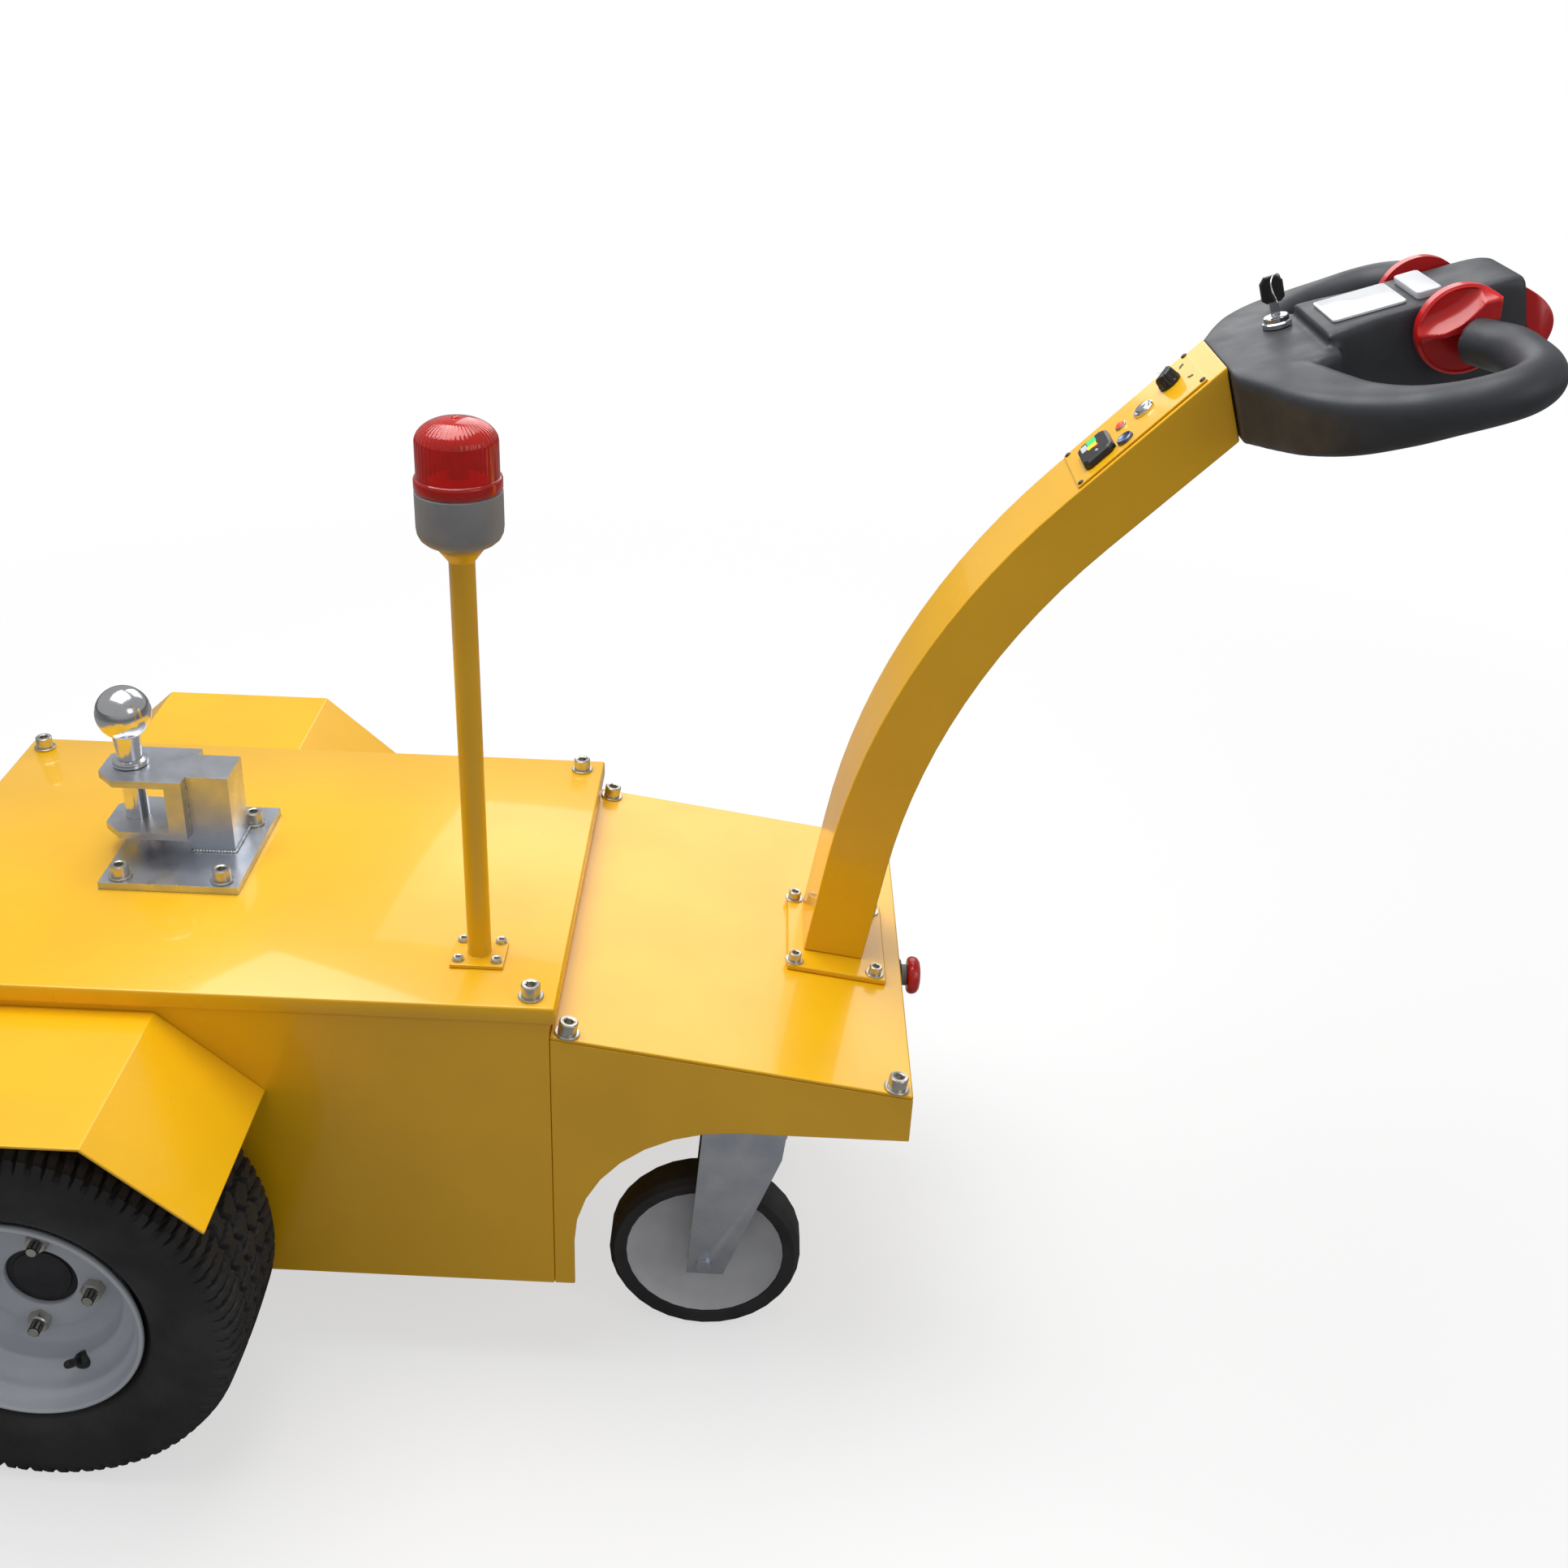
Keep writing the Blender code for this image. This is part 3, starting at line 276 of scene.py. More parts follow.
def finishes(paint):
    """Every finish of the tug by name."""
    deep = tuple(c * 0.9 for c in paint)
    made = {
        "paint": varied("gloss_yellow_paint", paint, deep, 6, (0.26, 0.34), grain=(260, 0.05, 0.0006), coat=0.5),
        "zinc": varied("zinc_plated_steel", (0.62, 0.64, 0.68), (0.50, 0.54, 0.62), 30, (0.26, 0.42), 1.0,
                       (300, 0.06, 0.0004)),
        "bolt": varied("zinc_plated_bolts", (0.62, 0.60, 0.55), (0.52, 0.50, 0.44), 60, (0.25, 0.4), 1.0),
        "chrome": varied("polished_steel", (0.80, 0.80, 0.82), (0.70, 0.71, 0.74), 40, (0.10, 0.18), 1.0),
        "tyre": varied("tyre_rubber", (0.030, 0.030, 0.032), (0.018, 0.018, 0.020), 20, (0.62, 0.80), 0.0,
                       (500, 0.20, 0.0004)),
        "rim": varied("rim_paint", (0.58, 0.61, 0.66), (0.52, 0.55, 0.61), 14, (0.35, 0.45), 0.0,
                      (240, 0.05, 0.0004)),
        "charcoal": varied("charcoal_plastic", (0.040, 0.044, 0.052), (0.030, 0.033, 0.040), 30, (0.42, 0.55),
                           0.0, (700, 0.25, 0.0003)),
        "red": varied("gloss_red_plastic", (0.62, 0.012, 0.012), (0.55, 0.008, 0.010), 20, (0.22, 0.30), 0.0,
                      None, 0.3),
        "pale": varied("pale_grey_plastic", (0.62, 0.63, 0.66), (0.56, 0.57, 0.60), 25, (0.4, 0.5), 0.0,
                       (600, 0.1, 0.0003)),
        "grey": varied("grey_plastic", (0.30, 0.30, 0.31), (0.25, 0.25, 0.26), 25, (0.45, 0.55), 0.0,
                       (600, 0.1, 0.0003)),
        "black": varied("black_plastic", (0.015, 0.015, 0.016), (0.010, 0.010, 0.011), 40, (0.30, 0.42), 0.0,
                        (600, 0.1, 0.0003)),
        "iron": varied("dark_iron", (0.05, 0.05, 0.055), (0.03, 0.03, 0.033), 20, (0.5, 0.7), 0.4,
                       (150, 0.2, 0.0006)),
    }
    made["weld"] = varied("weld_bead", (0.48, 0.49, 0.52), (0.34, 0.34, 0.37), 160, (0.30, 0.5), 1.0,
                          (600, 0.3, 0.0005))
    made["paint_weld"] = varied("painted_weld_bead", paint, deep, 40, (0.30, 0.40), 0.0, (500, 0.2, 0.0005), 0.4)
    made["blued"] = varied("blued_steel", (0.16, 0.20, 0.32), (0.10, 0.12, 0.20), 90, (0.25, 0.35), 0.8)
    # Display cover: its pale base colour is a painted reflection of the bright surroundings; its low roughness adds
    # real gloss on top.
    made["screen_painted_reflection"] = varied("display_cover_painted_reflection", (0.80, 0.82, 0.84), (0.74, 0.76, 0.78), 20, (0.12, 0.2))
    for name, colour, glow in (("lit_red", (0.95, 0.05, 0.02), 1.2), ("led_green", (0.02, 0.55, 0.12), 0.8),
                               ("led_yellow", (0.95, 0.75, 0.02), 1.0), ("led_red", (0.90, 0.10, 0.02), 0.8)):
        lit, _, shader = principled(name, colour, 0.3)
        shader.inputs["Emission Color"].default_value = (*colour, 1)
        shader.inputs["Emission Strength"].default_value = glow
        made[name] = lit
    made["amber"] = varied("lamp_reflector", (0.80, 0.16, 0.03), (0.70, 0.10, 0.02), 40, (0.3, 0.4))
    lens, tree, shader = principled("lamp_lens", (0.90, 0.035, 0.02), 0.08)
    shader.inputs["Transmission Weight"].default_value = 0.70
    shader.inputs["IOR"].default_value = 1.35
    shader.inputs["Coat Weight"].default_value = 0.6
    bumped(tree, shader, noise(tree, 90), 0.05, 0.0006)
    made["lens"] = lens
    return made


LOOKS = {}


def look(name):
    """A finish by name, made the first time that it is asked for."""
    if not LOOKS:
        LOOKS.update(finishes(tuple(bpy.context.scene.tug_looks.paint)))
    return LOOKS[name]


# ---------------------------------------------------------------- hardware

def washer(radius, thick):
    """A washer with softened edges, as a turned profile."""
    e = thick * 0.25
    return turned([(0, thick), (radius - e, thick), (radius, thick - e), (radius, e), (radius - e, 0), (0, 0)], 32)


def cap_screw(radius, height):
    """A socket cap screw head: a turned drum with a six-sided socket."""
    e = radius * 0.12
    drum = turned([(radius * 0.52, height - e * 0.3), (radius * 0.58, height), (radius - e, height),
                   (radius, height - e), (radius, 0), (0, 0)], 32)
    socket = turned([(0, height * 0.35), (radius * 0.52, height * 0.35), (radius * 0.52, height - e * 0.3)], 6)
    rim = turned([(radius * 0.52, height - e * 0.3), (radius * 0.58, height)], 6)
    return [drum, socket, rim]


def bolt_set(name, spots, radius, height, washer_radius, thick, body="chassis"):
    """Bolts with washers at a list of frames whose Z is the bolt's axis."""
    shapes = []
    for spot in spots:
        shapes.append(moved(washer(washer_radius, thick), spot))
        lifted = spot @ Matrix.Translation((0, 0, thick))
        shapes += [moved(shape, lifted) for shape in cap_screw(radius, height)]
    return piece(name, shapes, look("bolt"), body)


def at(x, y, z, turn=0.0):
    """A level frame at a point of the drive-axle's frame, turned about Z."""
    return Matrix.Translation((DRIVE_X + x, y, z)) @ Matrix.Rotation(turn, 4, "Z")


def on_cover(x, y, lift=0.0):
    """A frame on the sloped cover, its Z square to it."""
    run = COVER_HIGH.x - COVER_LOW.x
    top_rear, top_front = COVER_HIGH.z, COVER_LOW.z + 0.004
    tilt = math.atan2(top_rear - top_front, run)
    z = top_rear - (DRIVE_X + x - COVER_LOW.x) * math.tan(tilt)
    turn = Matrix.Rotation(tilt, 4, "Y")
    return Matrix.Translation((DRIVE_X + x, y, z)) @ turn @ Matrix.Translation((0, 0, lift))


# ---------------------------------------------------------------- lofts

def carried(path, widths, heights, squareness, count=28, up=(0, 0, 1)):
    """A superellipse section carried along a path.

    Ring point = path + side w sgn(cos a)|cos a|^(2/n) + top h sgn(sin a)|sin a|^(2/n), where side is
    square to the path and to up, and n is the squareness: 2 is round and 10 nearly square.
    """
    p = np.asarray(path, float)
    ahead = np.gradient(p, axis=0)
    ahead /= np.linalg.norm(ahead, axis=1)[:, None]
    side = np.cross(ahead, np.asarray(up, float))
    side /= np.linalg.norm(side, axis=1)[:, None]
    top = np.cross(side, ahead)
    a = np.linspace(0, math.tau, count, endpoint=False)[None, :]
    power = 2 / np.broadcast_to(np.asarray(squareness, float), (len(p),))[:, None]
    x = np.sign(np.cos(a)) * np.abs(np.cos(a)) ** power * np.broadcast_to(widths, (len(p),))[:, None]
    y = np.sign(np.sin(a)) * np.abs(np.sin(a)) ** power * np.broadcast_to(heights, (len(p),))[:, None]
    ring = p[:, None] + side[:, None] * x[..., None] + top[:, None] * y[..., None]
    faces = quads(len(p), count, wrap_cols=True)
    faces += [list(range(count))[::-1], list(range((len(p) - 1) * count, len(p) * count))]
    return ring.reshape(-1, 3), faces


def lofted(table, count, around=28, up=(0, 0, 1)):
    """A smooth loft through rows of (x, y, z, half width, half height, squareness)."""
    run = smooth_run(table, count)
    return carried(run[:, :3], run[:, 3], run[:, 4], run[:, 5], around, up)


def fused(name, shapes, look_name, body, replaces=(), voxel=0.002, rounds=4, pull=0.5):
    """Overlapping closed shapes melted into one moulded skin: remeshed on voxels, then relaxed."""
    made = piece(name, shapes, look(look_name), body, replaces, 0)
    melt = made.modifiers.new("melt", "REMESH")
    melt.mode = "VOXEL"
    melt.voxel_size = voxel
    relax = made.modifiers.new("relax", "SMOOTH")
    relax.factor = pull
    relax.iterations = rounds
    bpy.context.view_layer.update()
    skin = bpy.data.meshes.new_from_object(made.evaluated_get(bpy.context.evaluated_depsgraph_get()))
    made.modifiers.clear()
    made.data = skin
    skin.shade_smooth()
    return made


def centre_of(name):
    low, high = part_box(name)
    return (low + high) / 2


def framed(origin, ahead, across, out):
    """A frame from its origin and three axes."""
    return Matrix.Translation(origin) @ Matrix((ahead, across, out)).transposed().to_4x4()


def head_frame():
    """The tiller head's frame: X along it, Y to the left, Z up from its deck."""
    ahead = Vector((math.cos(PITCH), 0, math.sin(PITCH)))
    out = Vector((-math.sin(PITCH), 0, math.cos(PITCH)))
    origin = centre_of("display_blank") - 0.043 * ahead - 0.0013 * out
    return framed(origin, ahead, Vector((0, 1, 0)), out)


def panel_frame():
    """The panel's frame: X down the arm from its end, Y towards the right side, Z out of the arm."""
    down = Vector((-math.sin(LEAN), 0, -math.cos(LEAN)))
    out = Vector((-math.cos(LEAN), 0, math.sin(LEAN)))
    origin = centre_of("control_panel") - 0.0897 * down + 0.0010 * out
    return framed(origin, down, Vector((0, -1, 0)), out)


def weld(points, radius, closed=False, pitch=0.0032):
    """A weld bead along a line: a round section whose radius ripples once every pitch."""
    p = np.asarray(points, float)
    if closed:
        p = np.vstack([p, p[:1]])
    runs = np.linalg.norm(np.diff(p, axis=0), axis=1)
    total = np.concatenate([[0], np.cumsum(runs)])
    t = np.arange(0, total[-1], pitch / 5)
    line = np.column_stack([np.interp(t, total, p[:, i]) for i in range(3)])
    ripple = radius * (1 + 0.16 * np.abs(np.sin(math.pi * t / pitch)) + 0.10 * np.sin(t * 310) * np.cos(t * 97))
    return swept(line, ripple, 8, closed)


# ---------------------------------------------------------------- drive wheels

def smooth_run(points, count):
    """Points spread along a smooth run through the given ones: the Catmull-Rom blend of each four."""
    p = np.asarray(points, float)
    p = np.vstack([2 * p[0] - p[1], p, 2 * p[-1] - p[-2]])
    t = np.linspace(0, len(p) - 3, count)
    i = np.minimum(t.astype(int), len(p) - 4)
    f = (t - i)[:, None]
    a, b, c, d = p[i], p[i + 1], p[i + 2], p[i + 3]
    return 0.5 * (2 * b + (c - a) * f + (2 * a - 5 * b + 4 * c - d) * f ** 2 + (3 * b - a - 3 * c + d) * f ** 3)


def wave(t):
    """A triangle wave from -1 to 1 with period 1."""
    return 4 * np.abs(t - np.floor(t + 0.5)) - 1


def step(value, low, high):
    """0 below low, 1 above high, with a smooth rise between."""
    t = np.clip((value - low) / (high - low), 0, 1)
    return t * t * (3 - 2 * t)


def tyre_shape(lugs):
    """The tyre skin: a section turned about Z, sunk where the tread's grooves run.

    The section goes bead, sidewall, shoulder, crown and back. Grooves are the points near zigzag
    lines round the crown and near slanted lines across it, one for each tread block.
    """
    half, edge = 0.0822, 0.0745
    side = [(0.1065, 0.056), (0.1165, 0.0650), (0.1240, 0.0750), (0.1360, 0.0808), (0.1520, half),
            (0.1700, 0.0815), (0.1860, 0.0790), (0.1945, edge)]
    wall = smooth_run(side, 36)
    crown = np.linspace(edge, -edge, 80)[1:-1]
    drop = TYRE_R - 0.0012 * (crown / 0.05) ** 2 - 0.0045 * step(np.abs(crown), 0.058, edge) ** 1.5
    run = np.vstack([wall, np.column_stack([drop, crown]), wall[::-1] * [1, -1]])
    per_lug = 14
    steps = lugs * per_lug
    a = np.linspace(0, math.tau, steps, endpoint=False)[None, :]
    radius, z = run[:, :1], run[:, 1:]
    pitch = math.tau * TYRE_R / lugs
    turn = a / math.tau * lugs
    near = np.full((len(run), steps), 1.0)
    for middle, phase in ((-0.038, 0.0), (-0.0127, 0.5), (0.0127, 0.0), (0.038, 0.5)):
        line = middle + 0.0042 * wave(turn + phase)
        near = np.minimum(near, np.abs(z - line) - 0.0015)
    rows = ((-0.0127, 0.0127, 0.25), (0.0127, 0.038, 0.75), (-0.038, -0.0127, 0.75))
    for low, high, offset in rows:
        inside = (z > low) & (z < high)
        share = turn + offset + 9.0 * z
        gap = np.abs(share - np.round(share)) * pitch - 0.0014
        near = np.where(inside, np.minimum(near, gap), near)
    outer = np.abs(z) > 0.038
    share = turn + 0.25 + 6.0 * np.abs(z)
    gap = np.abs(share - np.round(share)) * pitch - 0.0016
    lower = (radius > TYRE_R - 0.019) & outer
    near = np.where(lower, np.minimum(near, gap), near)
    half_share = share + 0.5
    slit = np.abs(half_share - np.round(half_share)) * pitch - 0.0004
    near = np.where(lower & (np.abs(z) > 0.052), np.minimum(near, slit), near)
    depth = 0.0062 * step(radius, TYRE_R - 0.024, TYRE_R - 0.008) + 0 * a
    sunk = radius - depth * (1 - step(near, 0.0, 0.0016))
    ring = 0.0010 * np.exp(-(((radius - 0.1500) / 0.0008) ** 2)) * (np.abs(z) > 0.06)
    wide = z + np.sign(z) * ring
    points = np.stack([sunk * np.cos(a), sunk * np.sin(a), wide + 0 * a], axis=-1).reshape(-1, 3)
    inner = turned([(0.1060, -0.056), (0.1060, 0.056)], steps)[0]
    faces = quads(len(run) + 2, steps, wrap_rows=True, wrap_cols=True)
    return np.vstack([points, inner]), faces


def rim_shape():
    """The rim: rolled flange, bead seat, stepped dish and disc, turned about Z."""
    flange, wall, disc = 0.075, 0.003, 0.016
    dish = [(0.1155, flange - 0.004), (0.1150, flange - 0.001), (0.1130, flange), (0.1110, flange - 0.001),
            (0.1098, flange - 0.006), (0.1070, flange - 0.013), (0.1020, flange - 0.017),
            (0.1000, flange - 0.026), (0.0955, flange - 0.033), (0.0850, flange - 0.037),
            (0.0830, flange - 0.045), (0.0790, disc + 0.004), (0.0730, disc + 0.001), (0.0640, disc),
            (0.0560, disc + 0.0015), (0.0420, disc + 0.0015), (0.0365, disc + 0.0010), (0.0345, disc - 0.0005),
            (0.0342, disc - 0.004), (0.0345, disc - 0.005)]
    back = [(0.0640, disc - 0.005), (0.0800, disc - 0.005), (0.0845, disc - 0.012), (0.0845, -0.026),
            (0.0950, -0.044), (0.1020, -0.058), (0.1098, -0.066), (0.1110, -0.074), (0.1135, -0.075),
            (0.1155, -0.073), (0.1155, -0.070), (0.1130, -0.066), (0.1055, -0.060), (0.1055, -0.046),
            (0.0880, -0.030), (0.0880, 0.030), (0.1055, 0.046), (0.1055, 0.060), (0.1130, 0.066)]
    run = np.vstack([smooth_run(dish, 70), back])
    a_steps = 96
    points, _ = turned(run, a_steps)
    return points, quads(len(run), a_steps, wrap_rows=True, wrap_cols=True)


def hexagon(radius):
    return [(radius * math.cos(math.radians(60 * i)), radius * math.sin(math.radians(60 * i))) for i in range(6)]


def nut(across, thick):
    """A hexagon nut with its outer corners turned off."""
    flat = across / math.sqrt(3)
    body = slab(hexagon(flat), 0, thick * 0.84)
    crown = turned([(0, thick), (flat * 0.80, thick), (flat * 0.90, thick * 0.84), (0, thick * 0.84)], 24)
    return [body, crown]


def threaded(radius, length, pitch=0.00175):
    """A threaded end: a rod whose radius ripples along it like a thread seen from the side."""
    z = np.arange(0, length, pitch / 2)
    r = np.where(np.arange(len(z)) % 2 == 0, radius, radius * 0.90)
    run = [(0, length)] + [(radius * 0.8, length), (radius * 0.9, length - pitch / 2)]
    run += [tuple(v) for v in np.column_stack([r, z])[::-1][1:]] + [(0, 0)]
    return turned(run, 20)


def valve():
    """A snap-in rubber valve: a fat base and a thin stem with a cap."""
    return turned([(0, 0.030), (0.0036, 0.030), (0.0042, 0.028), (0.0042, 0.019), (0.0035, 0.018),
                   (0.0035, 0.012), (0.0075, 0.009), (0.0088, 0.004), (0.0088, 0.0), (0, 0)], 24)


# ---------------------------------------------------------------- properties

class TugLooks(bpy.types.PropertyGroup):
    """Sizes and colours that a user would change."""

    paint: FloatVectorProperty(name="Paint", description="Colour of the painted sheet metal", subtype="COLOR",
                               size=3, min=0, max=1, default=(0.93, 0.50, 0.004))
    edge: FloatProperty(name="Sheet edge", description="Radius of the folded sheet's edges", subtype="DISTANCE",
                        default=0.0015, min=0.0002, max=0.004)
    lugs: IntProperty(name="Tread blocks", description="Tread blocks round a drive tyre", default=48, min=8,
                      max=60)


def sizes():
    return bpy.context.scene.tug_looks


# ---------------------------------------------------------------- operators

class TUG_OT_body(bpy.types.Operator):
    """Painted sheet metal: box, lid, front part, cover and fenders"""

    bl_idname = "tug.body"
    bl_label = "Body"

    def execute(self, context):
        edge = sizes().edge
        for name, width in (("box_body", edge), ("lid", edge), ("front_frame", edge), ("sloped_cover", edge),
                            ("fender_left", edge * 0.8), ("fender_right", edge * 0.8),
                            ("arm_foot_plate", edge), ("tiller_arm", edge * 1.6), ("lamp_mast", edge * 0.6),
                            ("control_panel", edge * 0.5)):
            dressed(name, look("paint"), "chassis", min(width, 0.0009) if name in (
                "control_panel",) else width)
        return {"FINISHED"}


class TUG_OT_bolts(bpy.types.Operator):
    """Bolts and washers of the lid, the cover, the hitch, the arm and the mast"""

    bl_idname = "tug.bolts"
    bl_label = "Bolts"

    def execute(self, context):
        top = LID_HIGH.z
        lid = [at(x, y, top, 0.3) for x in (-0.1774, 0.4500) for y in (-0.228, 0.2225)]
        cover = [on_cover(x, y) for x in (0.4835, 0.7939) for y in (-0.2330, 0.2274)]
        bolt_set("lid_bolts", lid, 0.009, 0.012, 0.012, 0.0025)
        bolt_set("cover_bolts", cover, 0.009, 0.012, 0.012, 0.0025)
        plate = top + 0.0083
        hitch = [at(x, y, plate) for x in (0.0107, 0.1150) for y in (-0.0628, 0.0558)]
        bolt_set("hitch_bolts", hitch, 0.009, 0.012, 0.012, 0.0025)
        foot = [on_cover(x, y, 0.0063) for x in (0.6962, 0.7795) for y in (-0.0570, 0.0620)]
        bolt_set("arm_foot_bolts", foot, 0.0065, 0.008, 0.0095, 0.0016)
        mast = [at(0.3925 + dx, -0.164 + dy - 0.003 + 0.003, top + 0.0043) for dx in (-0.0183, 0.0183)
                for dy in (-0.015, 0.018)]
        bolt_set("mast_bolts", mast, 0.0050, 0.0030, 0.0060, 0.0008)
        return {"FINISHED"}


class TUG_OT_wheels(bpy.types.Operator):
    """Drive wheels: tyres with turf tread, rims, studs, nuts and valves"""

    bl_idname = "tug.wheels"
    bl_label = "Drive wheels"

    def execute(self, context):
        for side, sign in SIDES:
            body = "drive_wheel_" + side
            low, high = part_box("tyre_" + side)
            centre = Vector((DRIVE_X, (low.y + high.y) / 2, TYRE_R))
            axis = Matrix.Translation(centre) @ Matrix.Rotation(-sign * math.pi / 2, 4, "X")
            tyre = moved(tyre_shape(sizes().lugs), axis)
            piece("tyre_skin_" + side, [tyre], look("tyre"), body, ["tyre_" + side], 28)
            rim = moved(rim_shape(), axis)
            piece("rim_skin_" + side, [rim], look("rim"), body, ["rim_" + side], 40)
            dressed("hub_" + side, look("iron"), body, 0.0006)
            nuts, studs = [], []
            for i in range(4):
                spin = Matrix.Rotation(math.radians(90 * i - 8), 4, "Z")
                spot = axis @ spin @ Matrix.Translation((0.0508, 0, 0.0175))
                nuts += [moved(shape, spot) for shape in nut(0.019, 0.010)]
                studs.append(moved(threaded(0.0058, 0.0195), spot))
            piece("wheel_nuts_" + side, nuts, look("bolt"), body)
            piece("wheel_studs_" + side, studs, look("bolt"), body)
            lean = Matrix.Rotation(math.radians(-38), 4, "Y")
            spin = Matrix.Rotation(math.radians(VALVE_TURN), 4, "Z")
            spot = axis @ spin @ Matrix.Translation((0.092, 0, 0.034)) @ lean
            piece("valve_" + side, [moved(valve(), spot)], look("black"), body)
        dressed("axle_tube", look("iron"), "chassis", 0.001)
        return {"FINISHED"}


class TUG_OT_hitch(bpy.types.Operator):
    """Tow hitch, its pin with the ball knob and its ring"""

    bl_idname = "tug.hitch"
    bl_label = "Hitch"

    def execute(self, context):
        dressed("tow_hitch", look("zinc"), "chassis", 0.0008, 3)
        low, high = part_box("tow_pin")
        pin = centre_of("tow_pin")
        spot = Matrix.Translation((pin.x, pin.y, 0))
        top, collar = high.z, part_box("tow_hitch")[1].z + 0.0003
        a = np.linspace(math.pi / 2, -1.02, 26)
        ball = np.column_stack([0.028 * np.cos(a), top - 0.028 + 0.028 * np.sin(a)])
        ball = ball - np.column_stack([0.0006 * np.exp(-((a - 0.25) / 0.05) ** 2), 0 * a])
        run = [(0, top)] + [tuple(v) for v in ball[1:]]
        run += [(0.0128, collar + 0.013), (0.0128, collar + 0.007), (0.0150, collar + 0.0062),
                (0.0176, collar + 0.0055), (0.0180, collar + 0.0046), (0.0180, collar + 0.0008),
                (0.0172, collar), (0.0120, collar), (0.0120, low.z + 0.0025), (0.0100, low.z), (0, low.z)]
        piece("tow_pin_skin", [moved(turned(run, 56), spot)], look("chrome"), "chassis",
              ["tow_pin"], 30)
        ring = centre_of("pin_ring")
        a = np.linspace(0, math.tau, 56, endpoint=False)
        loop = np.column_stack([ring.x + 0.022 * np.cos(a), ring.y + 0.022 * np.sin(a), ring.z + 0 * a])
        piece("pin_ring_skin", [swept(loop, 0.0014, 10, True)], look("chrome"), "chassis",
              ["pin_ring"], 60)
        self.beads()
        return {"FINISHED"}

    def beads(self):
        """Welds round the post's foot and up both sides of the clevis."""
        x, y = DRIVE_X + 0.0905, 0.0168
        foot = LID_HIGH.z + 0.0083
        a, b = 0.0225, 0.025
        corners = [(x - a, y - b, foot), (x + a, y - b, foot), (x + a, y + b, foot), (x - a, y + b, foot)]
        beads = [weld(corners, 0.0022, True)]
        for side in (-1, 1):
            for z0, z1 in ((0.484, 0.5505),):
                edge = y + side * b
                beads.append(weld([(x - a, edge, z0), (x - a, edge, z1)], 0.0020))
        piece("hitch_welds", beads, look("weld"), "chassis", (), 60)


class TUG_OT_lamp(bpy.types.Operator):
    """Warning lamp"""

    bl_idname = "tug.lamp"
    bl_label = "Lamp"

    def execute(self, context):
        low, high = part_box("lamp_base")
        middle = centre_of("lamp_base")
        spot = Matrix.Translation((middle.x, middle.y, 0))
        z, top, r = low.z, high.z, 0.0372
        run = [(0, top), (r - 0.002, top), (r - 0.001, top - 0.0005), (r, top - 0.0015), (r, z + 0.017),
               (r - 0.0008, z + 0.0115), (r - 0.0030, z + 0.0070), (r - 0.0070, z + 0.0035), (r - 0.012, z + 0.0010),
               (r - 0.016, z), (0, z)]
        piece("lamp_base_skin", [moved(turned(run, 72), spot)], look("grey"), "chassis",
              ["lamp_base"], 30)
        self.lens(spot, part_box("lamp_lens")[0].z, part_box("lamp_lens")[1].z)
        screw = at(0.3925, -0.164, z - 0.0075) @ Matrix.Rotation(math.pi / 2, 4, "X")
        screw = screw @ Matrix.Translation((0, 0, 0.0128))
        # The black cross slabs on the cup screw's head are painted shade, standing for the shadowed cross recess.
        slots = [moved(slab(rounded(0.0020, 0.0005, 0.0004, 1), 0.0016, 0.0020), Matrix.Rotation(t, 4, "Z"))
                 for t in (0.4, 0.4 + math.pi / 2)]
        head = turned([(0, 0.0018), (0.0018, 0.0016), (0.0028, 0.0010), (0.0030, 0), (0, 0)], 20)
        piece("cup_screw", [moved(head, screw)], look("bolt"), "chassis")
        piece("cup_screw_cross_painted_shade", [moved(shape, screw) for shape in slots], look("black"), "chassis")
        return {"FINISHED"}

    def lens(self, spot, low, high):
        """A ribbed shell: the ring, straight wall and dome of the profile, its wall rippled inside."""
        t = np.linspace(0, 1, 40)
        shoulder = low + 0.040
        wall = [(0.0355, low), (0.0369, low + 0.0006), (0.0372, low + 0.0014), (0.0372, low + 0.0090),
                (0.0366, low + 0.0105), (0.0352, low + 0.0112), (0.0350, low + 0.0125)]
        dome = np.column_stack([0.0346 * np.cos(t * math.pi / 2) ** 0.92,
                                shoulder + (high - 0.0016 - shoulder) * np.sin(t * math.pi / 2)])
        nub = [(0.0034, high - 0.0016), (0.0026, high - 0.0004), (0.0012, high), (0, high)]
        outer = np.vstack([wall, dome[:-2], nub])
        steps = 192
        a = np.linspace(0, math.tau, steps, endpoint=False)[None, :]
        r, z = outer[:, :1], outer[:, 1:]
        rib = 0.00035 * np.cos(48 * a) * step(z, low + 0.012, low + 0.018) * step(r, 0.012, 0.022)
        skin = np.stack([(r + rib) * np.cos(a), (r + rib) * np.sin(a), z + 0 * a], axis=-1).reshape(-1, 3)
        inner = outer[::-1].copy()
        inner[:, 0] = np.maximum(inner[:, 0] - 0.0022, 0)
        inner[:, 1] = np.maximum(np.minimum(inner[:, 1], high - 0.0045), low)
        hollow, _ = turned(inner, steps)
        count = len(outer) * 2
        shell = (np.vstack([skin, hollow]), quads(count, steps, wrap_rows=True, wrap_cols=True))
        piece("lamp_lens_skin", [moved(shell, spot)], look("lens"), "chassis", ["lamp_lens"], 50)
        tower = turned([(0, low + 0.046), (0.006, low + 0.045), (0.009, low + 0.041), (0.009, low + 0.010),
                        (0.026, low + 0.008), (0.026, low + 0.0005), (0, low + 0.0005)], 40)
        piece("lamp_reflector", [moved(tower, spot)], look("amber"), "chassis")


